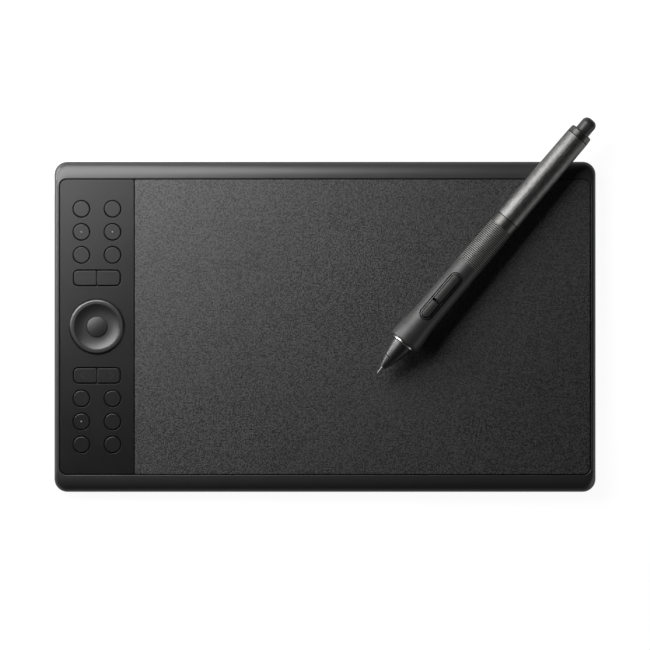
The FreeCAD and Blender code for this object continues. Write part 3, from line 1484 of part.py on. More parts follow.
def make_pen_inside():
    """Coil, the two pressure sensors and the circuit board inside the pen."""
    bore = S.nib_radius + S.chamber_gap
    coil = turned(
        "pen_coil",
        (S.coil_start, bore),
        (S.coil_end, bore),
        (S.coil_end, S.coil_radius),
        (S.coil_start, S.coil_radius),
    )
    depth = S.nib_end + S.nib_travel + S.press_gap
    sensor_end = S.switch_front_at - S.chamber_gap
    nib_sensor = turned(
        "pen_nib_sensor",
        (S.coil_end, bore),
        (depth, bore),
        (depth, 0),
        (sensor_end, 0),
        (sensor_end, S.tube_bore - S.pen_fit),
        (S.coil_end, S.tube_bore - S.pen_fit),
    )
    well = ERASER_SENSOR_END - S.stem_reach - S.eraser_travel - S.press_gap
    well_radius = S.eraser_stem + S.chamber_gap
    eraser_sensor = turned(
        "pen_eraser_sensor",
        (S.eraser_sensor_at, 0),
        (well, 0),
        (well, well_radius),
        (ERASER_SENSOR_END, well_radius),
        (ERASER_SENSOR_END, S.barrel_bore - S.pen_fit),
        (S.eraser_sensor_at, S.barrel_bore - S.pen_fit),
    )
    board = new_body("pen_circuit_board")
    sketch = sketch_on(board, height=-PEN_BOARD_TOP)
    half = S.pen_board_width / 2
    box(sketch, sensor_end, S.eraser_sensor_at, -half, half)
    pad(board, sketch, S.pen_board_thick)
    switches = sketch_on(board, height=PEN_BOARD_TOP)
    front = (SWITCH_LEFT + S.switch_split_at - S.switch_split / 2) / 2
    rear = (SWITCH_RIGHT + S.switch_split_at + S.switch_split / 2) / 2
    reach = S.tact_size / 2
    for middle in (front, rear):
        box(switches, middle - reach, middle + reach, -reach, reach)
    pad(board, switches, S.tact_height)
    board.setExpression("Placement", PEN_PLACEMENT)
    return [coil, nib_sensor, eraser_sensor, board]


SUB_PARTS = [
    make_top_case(),
    make_bottom_cover(),
    make_case_screws(),
    *make_feet(),
    make_work_surface(),
    make_key_panel(),
    *make_round_keys(),
    *make_bar_keys(),
    make_guide_frame(),
    make_key_board(),
    make_snap_domes(),
    make_board_screws(),
    *make_inner_pieces(),
    make_usb_socket(),
    make_dial_hub(),
    make_dial_ring(),
    make_encoder_wheel(),
    make_dial_button(),
    make_nib(),
    *make_nose(),
    *make_grip(),
    make_switch_bezel(),
    *make_side_buttons(),
    make_ribbed_sleeve(),
    *make_barrel(),
    make_eraser(),
    *make_pen_inside(),
]


def check_and_write():
    """Stops on any feature that failed, and writes each sub-part."""
    doc.recompute()
    faults = [
        f"{item.Name}: {', '.join(item.State)}"
        for item in doc.Objects
        if "Invalid" in item.State or "Error" in item.State
    ]
    faults += [
        f"{body.Name}: no valid shape"
        for body in SUB_PARTS
        if body.Shape.isNull() or not body.Shape.isValid() or not body.Shape.Solids
    ]
    if faults:
        print("\n".join(faults), file=sys.stderr)
        sys.exit(1)
    os.makedirs("parts", exist_ok=True)
    for body in SUB_PARTS:
        body.Label = body.Name
        body.Shape.exportStep(f"parts/{body.Name}.step")


check_and_write()
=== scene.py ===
"""Looks of a pen tablet and its pen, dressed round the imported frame."""

from __future__ import annotations

import json
import logging
import math
from collections.abc import Sequence
from dataclasses import dataclass, replace
from enum import Enum
from typing import Any, Protocol

import bmesh
import bpy
from mathutils import Matrix, Vector

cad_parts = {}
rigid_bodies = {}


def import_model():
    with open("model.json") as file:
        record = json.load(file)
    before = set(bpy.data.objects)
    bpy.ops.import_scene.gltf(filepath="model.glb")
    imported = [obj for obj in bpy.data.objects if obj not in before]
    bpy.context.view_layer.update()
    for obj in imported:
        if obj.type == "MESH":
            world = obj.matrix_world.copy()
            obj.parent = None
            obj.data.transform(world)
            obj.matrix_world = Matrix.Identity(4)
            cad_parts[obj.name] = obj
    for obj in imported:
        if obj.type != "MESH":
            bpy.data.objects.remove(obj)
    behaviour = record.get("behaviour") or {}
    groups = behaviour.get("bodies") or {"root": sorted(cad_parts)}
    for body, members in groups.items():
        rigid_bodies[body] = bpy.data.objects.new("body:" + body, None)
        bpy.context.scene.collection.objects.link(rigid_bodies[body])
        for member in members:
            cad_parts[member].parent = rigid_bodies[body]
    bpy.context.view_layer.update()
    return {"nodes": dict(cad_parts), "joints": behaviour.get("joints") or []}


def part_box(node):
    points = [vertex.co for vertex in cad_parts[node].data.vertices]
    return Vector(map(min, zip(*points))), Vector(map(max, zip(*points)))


LOG = logging.getLogger("pen_tablet")

Colour = tuple[float, float, float]
Tint = tuple[float, float, float, float]
Point = tuple[float, float, float]
Span = tuple[float, float]

# Numbers of the colour sockets on a Mix node.
MIX_FACTOR, MIX_FIRST, MIX_SECOND, MIX_RESULT = 0, 6, 7, 2

# Most values of a noise lie in this span, round this mean.
NOISE_SPREAD = (0.3, 0.7)
NOISE_MEAN = 0.5

# Farther off than any part of the object, in metres.
FAR = 1.0

# Depth of the grain on a polished piece, in metres.
POLISHED = 0.000001

# Near-black colour painted as shade where a surface lies in a gap.
PAINTED_SHADE_COLOUR = (0.0006, 0.0006, 0.0006, 1.0)
BUMP_KEYS = ("rear_key_2_left", "rear_key_2_right", "front_key_2_left")
VIEW_MIDDLE = (0.00001, 0.0009, 0.008)


def shade(colour: Colour, factor: float) -> Tint:
    """A colour made darker or lighter, with full opacity."""
    return (colour[0] * factor, colour[1] * factor, colour[2] * factor, 1.0)


def top_of(node: str) -> float:
    """Height of a node's top at rest, in metres."""
    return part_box(node)[1][2]


@dataclass(frozen=True)
class PatternFrame:
    """Where a pattern starts and how it is turned.

    Args:
        origin: place of the pattern's origin, in metres.
        turn: the frame's Euler angles, in radians.
    """

    origin: Point = (0.0, 0.0, 0.0)
    turn: Point = (0.0, 0.0, 0.0)


class Wire:
    """One output socket of a node, with arithmetic on its values."""

    def __init__(self, graph: Graph, socket: bpy.types.NodeSocket | None) -> None:
        """Keeps the socket and the graph that it belongs to."""
        self.graph = graph
        self.socket = socket

    def math(self, operation: str, *others: Wire | float) -> Wire:
        """Applies a Math node to this value.

        Args:
            operation: the node's operation.
            others: the second and third value, where the operation takes them.

        Returns:
            The result.
        """
        values = dict(enumerate((self, *others)))
        return self.graph.node("ShaderNodeMath", {"operation": operation}, values)

    def __add__(self, other: Wire | float) -> Wire:
        """Sum."""
        return self.math("ADD", other)

    __radd__ = __add__

    def __sub__(self, other: Wire | float) -> Wire:
        """Difference."""
        return self.math("SUBTRACT", other)

    def __rsub__(self, other: float) -> Wire:
        """Difference from a plain number."""
        return self.math("MULTIPLY_ADD", -1.0, other)

    def __mul__(self, other: Wire | float) -> Wire:
        """Product."""
        return self.math("MULTIPLY", other)

    __rmul__ = __mul__

    def __pow__(self, other: Wire | float) -> Wire:
        """Power."""
        return self.math("POWER", other)

    def within(self, low: float, high: float) -> Wire:
        """Stretches the values between two limits to 0 and 1, and cuts off the rest."""
        limits = {"Value": self, "From Min": low, "From Max": high}
        return self.graph.node("ShaderNodeMapRange", {"clamp": True}, limits)

    def axis(self, name: str) -> Wire:
        """One component of a vector, by its letter."""
        return self.graph.node("ShaderNodeSeparateXYZ", {}, {"Vector": self}, name)


class Graph:
    """A node tree, made node by node."""

    def __init__(self, tree: bpy.types.NodeTree) -> None:
        """Empties the tree."""
        self.tree = tree
        tree.nodes.clear()

    @classmethod
    def material(cls, name: str) -> tuple[bpy.types.Material, Graph]:
        """Makes a material.

        Args:
            name: its name.

        Returns:
            The material and its empty graph.
        """
        made = bpy.data.materials.new(name)
        made.use_nodes = True
        return made, cls(made.node_tree)

    def node(
        self,
        kind: str,
        settings: dict[str, Any] | None = None,
        inputs: dict[str | int, Any] | None = None,
        output: str | int = 0,
    ) -> Wire:
        """Adds a node.

        Args:
            kind: the node's type.
            settings: its properties, and under "stops" the places and colours of a ramp.
            inputs: values or wires for its sockets, by name or number.
            output: the output to return.

        Returns:
            That output.
        """
        made = self.tree.nodes.new(kind)
        for name, value in (settings or {}).items():
            if name == "stops":
                self._set_stops(made.color_ramp, value)
            else:
                setattr(made, name, value)
        for name, value in (inputs or {}).items():
            if isinstance(value, Wire):
                self.tree.links.new(value.socket, made.inputs[name])
            else:
                made.inputs[name].default_value = value
        return Wire(self, made.outputs[output] if made.outputs else None)

    @staticmethod
    def _set_stops(ramp: bpy.types.ColorRamp, stops: Sequence[tuple[float, Tint]]) -> None:
        """Gives a ramp its stops. A new one lies halfway until its place is set.

        Args:
            ramp: the ramp.
            stops: places and colours.
        """
        while len(ramp.elements) < len(stops):
            ramp.elements.new(0.5)
        for element, (position, colour) in zip(ramp.elements, stops):
            element.position = position
            element.color = colour

    def point(self, place: PatternFrame = PatternFrame(), stretch: Point = (1.0, 1.0, 1.0)) -> Wire:
        """Object coordinates in a pattern's own frame.

        Args:
            place: the pattern's frame.
            stretch: factor on each axis; a small one draws the pattern out along that axis.

        Returns:
            The coordinates.
        """
        coordinates = self.node("ShaderNodeTexCoord", {}, {}, "Object")
        inputs = {
            "Vector": coordinates,
            "Location": place.origin,
            "Rotation": place.turn,
            "Scale": tuple(1 / value for value in stretch),
        }
        return self.node("ShaderNodeMapping", {"vector_type": "TEXTURE"}, inputs)

    def noise(self, point: Wire, size: float, detail: float = 2.0, rough: float = 0.5) -> Wire:
        """Cloudy noise with grains of a size in metres, between 0 and 1."""
        inputs = {"Vector": point, "Scale": 1 / size, "Detail": detail, "Roughness": rough}
        return self.node("ShaderNodeTexNoise", {}, inputs)

    def cells(self, point: Wire, size: float) -> Wire:
        """Distance to the middles of scattered cells of a size in metres."""
        return self.node("ShaderNodeTexVoronoi", {}, {"Vector": point, "Scale": 1 / size})

    def mixed(self, factor: Wire | float, first: Any, second: Any) -> Wire:
        """Mixes two colours.

        Args:
            factor: share of the second colour.
            first: the first colour.
            second: the second colour.

        Returns:
            The mixed colour.
        """
        settings = {"data_type": "RGBA", "clamp_factor": True}
        inputs = {MIX_FACTOR: factor, MIX_FIRST: first, MIX_SECOND: second}
        return self.node("ShaderNodeMix", settings, inputs, MIX_RESULT)

    def mottled(self, tone: Wire, colour: Colour, share: float, spread: Span = NOISE_SPREAD) -> Wire:
        """A colour that varies with a tone.

        Args:
            tone: the tone.
            colour: the colour in the middle.
            share: share by which it gets darker and lighter.
            spread: the tones where it is darkest and lightest.

        Returns:
            The colour.
        """
        return self.mixed(tone.within(*spread), shade(colour, 1 - share), shade(colour, 1 + share))

    def bump(self, height: Wire, depth: float) -> Wire:
        """A normal tilted by a height pattern, with a depth in metres between its 0 and its 1."""
        return self.node("ShaderNodeBump", {}, {"Height": height, "Distance": depth, "Strength": 1.0})

    def surface(self, inputs: dict[str | int, Any], gap: Gap | None = None) -> None:
        """Ends the graph with the main shader.

        Args:
            inputs: values and wires of its sockets.
            gap: where the surface lies in a gap and is painted dark as shade.
        """
        # Painted shade: in a gap the colour turns near-black and the roughness goes to full.
        if gap is not None:
            deep = gap.mask(self)
            inputs["Base Color"] = self.mixed(deep, inputs["Base Color"], PAINTED_SHADE_COLOUR)
            inputs["Roughness"] = inputs["Roughness"] * (1 - deep) + deep
        shader = self.node("ShaderNodeBsdfPrincipled", {}, inputs)
        self.node("ShaderNodeOutputMaterial", {}, {"Surface": shader})


class Gap(Protocol):
    """A place where a surface lies in a gap, out of the light, so that shade is painted on it."""

    def mask(self, graph: Graph) -> Wire:
        """How deep in the gap a point lies, from 0 to 1.

        Args:
            graph: the graph of the piece's material.

        Returns:
            The mask.
        """


@dataclass(frozen=True)
class SunkGap:
    """Painted shade on the walls and floors of the gaps between flat pieces.

    Args:
        top: height where the painted shade starts, in metres.
        low: lowest X and Y of the region.
        high: highest X and Y of the region.
        fade: height over which the painted shade comes in.
    """

    top: float
    low: Span = (-FAR, -FAR)
    high: Span = (FAR, FAR)
    fade: float = 0.00015

    def mask(self, graph: Graph) -> Wire:
        """How deep in the gap a point lies, from 0 to 1.

        Args:
            graph: the graph of the piece's material.

        Returns:
            The mask.
        """
        point = graph.point()
        deep = 1 - point.axis("Z").within(self.top - self.fade, self.top)
        for letter, low, high in zip("XY", self.low, self.high):
            place = point.axis(letter)
            deep = deep * place.math("GREATER_THAN", low) * place.math("LESS_THAN", high)
        return deep


@dataclass(frozen=True)
class SeamGap:
    """Painted shade on the bevelled ends of a turned piece, which meet its neighbours in a seam.

    Args:
        place: the frame whose X axis is the piece's axis.
        front: place of the front seam on that axis, in metres.
        back: place of the back seam.
        width: width of the bevel.
        fade: width over which the painted shade comes in.
    """

    place: PatternFrame
    front: float
    back: float
    width: float = 0.0002
    fade: float = 0.00006

    def mask(self, graph: Graph) -> Wire:
        """How deep in the seam a point lies, from 0 to 1.

        Args:
            graph: the graph of the piece's material.

        Returns:
            The mask.
        """
        along = graph.point(self.place).axis("X")
        front_end, back_start = self.front + self.width, self.back - self.width
        front = 1 - along.within(front_end - self.fade, front_end)
        back = along.within(back_start, back_start + self.fade)
        return front.math("MAXIMUM", back)


@dataclass(frozen=True)
class SlotGap:
    """Painted shade on pieces beside the pen's side switch, outside a lit band round its spine.

    Args:
        place: the pen's frame.
        front: front end of the switch's spine, from the tip, in metres.
        back: back end of the spine.
        lit_from: distance from the spine where the lit band starts.
        lit_to: distance where it ends.
    """

    place: PatternFrame
    front: float
    back: float
    lit_from: float = -FAR
    lit_to: float = FAR

    def mask(self, graph: Graph) -> Wire:
        """Whether a point lies in a gap, as 0 or 1.

        Args:
            graph: the graph of the piece's material.

        Returns:
            The mask.
        """
        point = graph.point(self.place)
        middle, half = (self.front + self.back) / 2, (self.back - self.front) / 2
        past = ((point.axis("X") - middle).math("ABSOLUTE") - half).math("MAXIMUM", 0.0)
        away = (past**2 + point.axis("Y") ** 2) ** 0.5
        lit = away.math("GREATER_THAN", self.lit_from) * away.math("LESS_THAN", self.lit_to)
        return (1 - lit) * point.axis("Z").math("GREATER_THAN", 0.0)


@dataclass(frozen=True)
class SeveralGaps:
    """Painted shade in gaps of different kinds on one piece.

    Args:
        parts: the gaps.
    """

    parts: tuple[Gap, ...]

    def mask(self, graph: Graph) -> Wire:
        """How deep in any of the gaps a point lies, from 0 to 1.

        Args:
            graph: the graph of the piece's material.

        Returns:
            The mask.
        """
        deepest, *rest = (part.mask(graph) for part in self.parts)
        for other in rest:
            deepest = deepest.math("MAXIMUM", other)
        return deepest


class Finish(Protocol):
    """The finish of a surface."""

    def material(self) -> bpy.types.Material:
        """Makes the material.

        Returns:
            The material.
        """


@dataclass(frozen=True)
class MouldedPlastic:
    """Plastic from an etched mould: fine grain, faint clouds in tone and gloss.

    Args:
        name: name of the material.
        colour: its colour.
        roughness: middle of its roughness.
        gloss: specular level.
        mottle: share by which the tone varies.
        swing: how far the roughness follows the tone.
        grain: size of the grain, in metres.
        depth: depth of the grain.
        cloud: size of the clouds.
        grain_share: share of the grain in the tone, beside the clouds.
        raised: height where signs stand out of the surface and are painted pale, which stands for
            wear and for a painted highlight, or 0.
        sign_edge: height over which they turn pale.
        wear_and_highlight: how many times paler their tops are; wear on the chevrons, a painted
            highlight on the bumps.
        gap: where it lies in a gap and shade is painted on it.
    """

    name: str
    colour: Colour
    roughness: float
    gloss: float = 0.5
    mottle: float = 0.12
    swing: float = 0.16
    grain: float = 0.00032
    depth: float = 0.000006
    cloud: float = 0.018
    grain_share: float = 0.45
    raised: float = 0.0
    sign_edge: float = 0.00002
    wear_and_highlight: float = 24.0
    gap: Gap | None = None

    def material(self) -> bpy.types.Material:
        """Makes the material.

        Returns:
            The material.
        """
        made, graph = Graph.material(self.name)
        point = graph.point()
        grain = graph.noise(point, self.grain)
        clouds = graph.noise(point, self.cloud, detail=4.0)
        tone = grain * self.grain_share + clouds * (1 - self.grain_share)
        base = graph.mottled(tone, self.colour, self.mottle)
        # Raised tops painted pale: wear on the chevrons, a painted highlight on the bumps.
        if self.raised:
            crest = point.axis("Z").within(self.raised, self.raised + self.sign_edge)
            base = graph.mixed(crest, base, shade(self.colour, self.wear_and_highlight))
        graph.surface(
            {
                "Base Color": base,
                "Roughness": self.roughness + (tone - NOISE_MEAN) * self.swing,
                "Normal": graph.bump(grain, self.depth),
                "Specular IOR Level": self.gloss,
            },
            self.gap,
        )
        return made


@dataclass(frozen=True)
class DrawingSheet:
    """Textured sheet that gives the nib its bite: dark grains and light flecks.

    Args:
        name: name of the material.
        dark: colour of the grains.
        light: colour of the flecks.
        roughness: middle of its roughness.
        gloss: specular level.
        fleck: size of the flecks, in metres.
        worm: size of the winding grains.
        cloud: size of the clouds.
        fleck_share: share of the flecks in the grain, beside the winding grains.
        spread: grain values that are darkest and lightest.
        grain_share: share of the grain in the tone, beside the clouds.
        swing: how far the roughness follows the grain.
        depth: depth of the grain.
    """

    name: str = "drawing_sheet"
    dark: Colour = (0.002, 0.002, 0.002)
    light: Colour = (0.0655, 0.066, 0.065)
    roughness: float = 0.524
    gloss: float = 0.7
    fleck: float = 0.0007
    worm: float = 0.0012
    cloud: float = 0.03
    fleck_share: float = 0.62
    spread: Span = (0.41, 0.59)
    grain_share: float = 0.88
    swing: float = 0.4
    depth: float = 0.0002

    def material(self) -> bpy.types.Material:
        """Makes the material.

        Returns:
            The material.
        """
        made, graph = Graph.material(self.name)
        point = graph.point()
        flecks = graph.noise(point, self.fleck, detail=1.0)
        worms = graph.noise(point, self.worm, detail=2.0, rough=0.6)
        clouds = graph.noise(point, self.cloud, detail=4.0)
        grain = flecks * self.fleck_share + worms * (1 - self.fleck_share)
        tone = grain.within(*self.spread) * self.grain_share + clouds * (1 - self.grain_share)
        graph.surface(
            {
                "Base Color": graph.mixed(tone, (*self.dark, 1.0), (*self.light, 1.0)),
                "Roughness": self.roughness + (grain - NOISE_MEAN) * self.swing,
                "Normal": graph.bump(grain, self.depth),
                "Specular IOR Level": self.gloss,
            }
        )
        return made


@dataclass(frozen=True)
class SoftRubber:
    """Soft rubber: dull, with dust-fine grain and a faint sheen.

    Args:
        name: name of the material.
        colour: its colour.
        roughness: middle of its roughness.
        gloss: specular level.
        sheen: strength of the sheen.
        sheen_roughness: how wide the sheen spreads.
        mottle: share by which the tone varies.
        swing: how far the roughness follows the tone.
        grain: size of the grain, in metres.
        depth: depth of the grain.
        cloud: size of the clouds.
        grain_share: share of the grain in the tone, beside the clouds.
        gap: where it lies in a gap and shade is painted on it.
    """

    name: str
    colour: Colour
    roughness: float
    gloss: float = 0.45
    sheen: float = 0.1
    sheen_roughness: float = 0.45
    mottle: float = 0.14
    swing: float = 0.14
    grain: float = 0.00022
    depth: float = 0.000005
    cloud: float = 0.009
    grain_share: float = 0.4
    gap: Gap | None = None

    def material(self) -> bpy.types.Material:
        """Makes the material.

        Returns:
            The material.
        """
        made, graph = Graph.material(self.name)
        point = graph.point()
        grain = graph.noise(point, self.grain, detail=3.0)
        clouds = graph.noise(point, self.cloud, detail=4.0)
        tone = grain * self.grain_share + clouds * (1 - self.grain_share)
        graph.surface(
            {
                "Base Color": graph.mottled(tone, self.colour, self.mottle),
                "Roughness": self.roughness + (tone - NOISE_MEAN) * self.swing,
                "Normal": graph.bump(grain, self.depth),
                "Specular IOR Level": self.gloss,
                "Sheen Weight": self.sheen,
                "Sheen Roughness": self.sheen_roughness,
            },
            self.gap,
        )
        return made


class Lay(Enum):
    """Which way the fine lines of a worked metal run, as the stretch of their noise."""

    ALONG = (0.04, 1.0, 1.0)
    BRUSHED = (0.25, 1.0, 1.0)
    ROUND = (1.0, 0.05, 0.05)
    NONE = (1.0, 1.0, 1.0)


@dataclass(frozen=True)
class WorkedMetal:
    """Bare or coated metal with the fine lines of its making.

    Args:
        name: name of the material.
        colour: its colour.
        roughness: middle of its roughness.
        place: the frame of its lines.
        lay: the way that they run.
        line: width of a line, in metres.
        depth: depth of a line.
        contrast: share by which the tone varies.
        spread: tones that are darkest and lightest.
        swing: how far the roughness follows the tone.
        coarse: size of the grain between the lines, in widths of a line.
        cloud: size of the clouds, in metres.
        shares: shares of lines, grain and clouds in the tone.
        line_share: share of the lines in the relief, beside the grain.
        gap: where it lies in a gap and shade is painted on it.
    """

    name: str
    colour: Colour
    roughness: float
    place: PatternFrame = PatternFrame()
    lay: Lay = Lay.NONE
    line: float = 0.0002
    depth: float = 0.000002
    contrast: float = 0.15
    spread: Span = (0.32, 0.68)
    swing: float = 0.3
    coarse: float = 2.2
    cloud: float = 0.012
    shares: tuple[float, float, float] = (0.5, 0.3, 0.2)
    line_share: float = 0.6
    gap: Gap | None = None

    def material(self) -> bpy.types.Material:
        """Makes the material.

        Returns:
            The material.
        """
        made, graph = Graph.material(self.name)
        point = graph.point(self.place)
        lines = graph.noise(graph.point(self.place, self.lay.value), self.line, detail=3.0)
        grain = graph.noise(point, self.line * self.coarse, detail=2.0)
        clouds = graph.noise(point, self.cloud, detail=3.0)
        of_lines, of_grain, of_clouds = self.shares
        tone = lines * of_lines + grain * of_grain + clouds * of_clouds
        relief = lines * self.line_share + grain * (1 - self.line_share)
        graph.surface(
            {
                "Base Color": graph.mottled(tone, self.colour, self.contrast, self.spread),
                "Roughness": self.roughness + (tone - NOISE_MEAN) * self.swing,
                "Normal": graph.bump(relief, self.depth),
                "Metallic": 1.0,
            },
            self.gap,
        )
        return made


@dataclass(frozen=True)
class RibbedSleeve:
    """Turned sleeve: pale crests with a look of wear, and grooves painted dark as shade.

    Args:
        place: the pen's frame.
        front: distance of the sleeve's front from the pen's tip, in metres.
        name: name of the material.
        colour: colour of the crests.
        crest: radius of the crests at the front.
        fall: how fast that radius falls towards the back.
        groove: depth of the grooves.
        bank: shares of that depth where the painted shade starts and is full.
        tones: factors on the colour for dull crests, pale crests and the painted shade in the
            grooves.
        roughness: roughness of the crests.
        dull: how much rougher a groove is.
        swing: how far the roughness follows the grain.
        grain: size of the grain.
        depth: depth of the grain.
        gloss: specular level.
    """

    place: PatternFrame
    front: float
    name: str = "ribbed_sleeve"
    colour: Colour = (0.13, 0.1295, 0.1255)
    crest: float = 0.0067
    fall: float = 0.0102
    groove: float = 0.0004
    bank: Span = (0.08, 0.5)
    tones: tuple[float, float, float] = (0.8, 1.25, 0.06)
    roughness: float = 0.42
    dull: float = 0.5
    swing: float = 0.12
    grain: float = 0.0003
    depth: float = 0.000004
    gloss: float = 0.9

    def material(self) -> bpy.types.Material:
        """Makes the material.

        Returns:
            The material.
        """
        made, graph = Graph.material(self.name)
        point = graph.point(self.place)
        radius = (point.axis("Y") ** 2 + point.axis("Z") ** 2) ** 0.5
        sunk = self.crest - (point.axis("X") - self.front) * self.fall - radius
        # Painted shade: the grooves turn near-black by their depth below the crests.
        groove = sunk.within(*(self.groove * share for share in self.bank))
        grain = graph.noise(point, self.grain, detail=3.0)
        dull, pale, dark = (shade(self.colour, tone) for tone in self.tones)
        crest = graph.mixed(grain.within(*NOISE_SPREAD), dull, pale)
        graph.surface(
            {
                "Base Color": graph.mixed(groove, crest, dark),
                "Roughness": self.roughness + groove * self.dull + (grain - NOISE_MEAN) * self.swing,
                "Normal": graph.bump(grain, self.depth),
                "Specular IOR Level": self.gloss,
            }
        )
        return made


@dataclass(frozen=True)
class BoardLacquer:
    """Circuit board: lacquer over copper tracks, with bare spots.

    Args:
        name: name of the material.
        lacquer: colour of the lacquer.
        copper: colour of the bare spots.
        pitch: distance between tracks, in metres.
        bend: how far the tracks wander.
        bend_size: over which length they do.
        patch: size of the fields whose tracks run one way.
        patch_edge: values of the noise between two fields.
        track_edge: values of the wave at the edge of a track.
        spot_pitch: distance between bare spots.
        spot_edge: radius of a spot within its soft edge and with it, in spot pitches.
        tones: factors on the lacquer beside and over the tracks.
        roughness: roughness of the lacquer.
        track_dull: how much rougher it is over a track.
        depth: height of tracks and spots.
    """

    name: str
    lacquer: Colour
    copper: Colour = (0.42, 0.22, 0.09)
    pitch: float = 0.0016
    bend: float = 0.012
    bend_size: float = 0.02
    patch: float = 0.012
    patch_edge: Span = (0.49, 0.51)
    track_edge: Span = (0.55, 0.72)
    spot_pitch: float = 0.0042
    spot_edge: Span = (0.1, 0.13)
    tones: Span = (0.8, 1.9)
    roughness: float = 0.34
    track_dull: float = 0.1
    depth: float = 0.00003

    def material(self) -> bpy.types.Material:
        """Makes the material.

        Returns:
            The material.
        """
        made, graph = Graph.material(self.name)
        point = graph.point()
        bend = graph.noise(point, self.bend_size, detail=0.0) * self.bend
        turns = math.tau / self.pitch
        rows, columns = (((point.axis(letter) + bend) * turns).math("SINE") for letter in "YX")
        side = graph.noise(point, self.patch, detail=0.0).within(*self.patch_edge)
        tracks = (rows * side + columns * (1 - side)).within(*self.track_edge)
        spots = 1 - graph.cells(point, self.spot_pitch).within(*self.spot_edge)
        beside, over = (shade(self.lacquer, tone) for tone in self.tones)
        base = graph.mixed(tracks, beside, over)
        graph.surface(
            {
                "Base Color": graph.mixed(spots, base, (*self.copper, 1.0)),
                "Roughness": self.roughness + tracks * self.track_dull,
                "Metallic": spots,
                "Normal": graph.bump(tracks + spots, self.depth),
            }
        )
        return made


@dataclass(frozen=True)
class PaintedFloor:
    """Pale floor that takes the object's shadow, white for the camera and greyer in gloss.

    Args:
        name: name of the material.
        tone: lightness of its paint.
        speckle: share of that lightness in the darkest specks.
        grain: size of the specks, in metres.
        glow: what it adds where the camera sees it.
        mirrored: what it adds where gloss or clear pieces show it.
    """

    name: str = "pale_floor"
    tone: float = 0.22
    speckle: float = 0.98
    grain: float = 0.02
    glow: float = 0.94
    mirrored: float = 0.4

    def material(self) -> bpy.types.Material:
        """Makes the material.

        Returns:
            The material.
        """
        made, graph = Graph.material(self.name)
        direct, gloss, clear = (
            graph.node("ShaderNodeLightPath", {}, {}, f"Is {kind} Ray")
            for kind in ("Camera", "Glossy", "Transmission")
        )
        seen = (direct * self.glow).math("MAXIMUM", gloss.math("MAXIMUM", clear) * self.mirrored)
        grain = graph.noise(graph.point(), self.grain, detail=3.0)
        white = (1.0, 1.0, 1.0)
        low, high = shade(white, self.tone * self.speckle), shade(white, self.tone)
        paint = graph.node("ShaderNodeBsdfDiffuse", {}, {"Color": graph.mixed(grain, low, high)})
        light = graph.node("ShaderNodeEmission", {}, {"Strength": seen})
        both = graph.node("ShaderNodeAddShader", {}, {0: paint, 1: light})
        graph.node("ShaderNodeOutputMaterial", {}, {"Surface": both})
        return made


@dataclass
class Assembly:
    """A group of pieces that are dressed together.

    Args:
        nodes: the frame's nodes.
    """

    nodes: dict[str, bpy.types.Object]

    def dress(self, finish: Finish, *names: str) -> None:
        """Gives nodes one finish.

        Args:
            finish: the finish.
            names: the nodes to dress.
        """
        made = finish.material()
        for name in names:
            for place in self.nodes[name].material_slots:
                place.material = made
            LOG.info("dressed %s in %s", name, made.name)


@dataclass
class Case(Assembly):
    """The two covers, the feet and the screws.

    Args:
        shell: finish of the covers.
        rubber: finish of the feet.
        screw: finish of the screws.
        recess_reach: how far the recess reaches past the sheet and the key panel, in metres.
        recess_shade_depth: depth under the rim from which shade is painted on the recess's walls and
            floor.
    """

    shell: MouldedPlastic = MouldedPlastic(
        "case_shell", (0.033, 0.0332, 0.0333), 0.37, gloss=0.66, mottle=0.06
    )
    rubber: SoftRubber = SoftRubber("foot_rubber", (0.02, 0.02, 0.021), 0.75)
    screw: WorkedMetal = WorkedMetal("screw_steel", (0.22, 0.22, 0.23), 0.4, line=0.00012)
    recess_reach: float = 0.00045
    recess_shade_depth: float = 0.0003

    def build(self) -> None:
        """Dresses the case."""
        self.dress(self.shell, "bottom_cover")
        low = tuple(side - self.recess_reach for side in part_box("key_panel")[0][:2])
        high = tuple(side + self.recess_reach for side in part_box("work_surface")[1][:2])
        # Shade painted on the recess's walls and floor, round the sheet and the key panel.
        recess = SunkGap(top_of("top_case") - self.recess_shade_depth, low, high)
        self.dress(replace(self.shell, name="top_case", gap=recess), "top_case")
        self.dress(self.rubber, *sorted(name for name in self.nodes if name.startswith("foot_")))
        self.dress(self.screw, "case_screws", "board_screws")


@dataclass
class Face(Assembly):
    """Drawing sheet, key panel and keys.

    Args:
        sheet: finish of the drawing sheet.
        panel: finish of the key panel.
        caps: finish of the keys.
        bump_highlight: how many times paler the raised bumps are than the keys, as a painted
            highlight.
        panel_shade_depth: depth under the panel's face from which shade is painted on the panel's
            walls, in metres.
        cap_shade_depth: depth under it from which shade is painted on the keys' walls.
        sign_height: height over a plain key's top where bumps and chevrons are painted pale, as wear
            on the chevrons and a painted highlight on the bumps.
    """

    sheet: DrawingSheet = DrawingSheet()
    panel: MouldedPlastic = MouldedPlastic(
        "key_panel", (0.0012, 0.0012, 0.0012), 0.394, gloss=0.57, mottle=0.05
    )
    caps: MouldedPlastic = MouldedPlastic(
        "key_cap", (0.0014, 0.0014, 0.0014), 0.394, gloss=0.6, mottle=0.05
    )
    bump_highlight: float = 120.0
    panel_shade_depth: float = 0.0002
    cap_shade_depth: float = 0.0001
    sign_height: float = 0.00006

    def build(self) -> None:
        """Dresses the face."""
        self.dress(self.sheet, "work_surface")
        face = top_of("key_panel")
        # Shade is painted on the panel's walls and the keys' walls below the panel's face.
        self.dress(replace(self.panel, gap=SunkGap(face - self.panel_shade_depth)), "key_panel")
        keys = sorted(name for name in self.nodes if "_key_" in name or "_bar_" in name)
        raised = top_of("rear_bar_left") + self.sign_height
        caps = replace(self.caps, raised=raised, gap=SunkGap(face - self.cap_shade_depth))
        self.dress(caps, *keys)
        # The bumps' pale tops are a painted highlight.
        self.dress(replace(caps, name="bump_key_cap", wear_and_highlight=self.bump_highlight), *BUMP_KEYS)


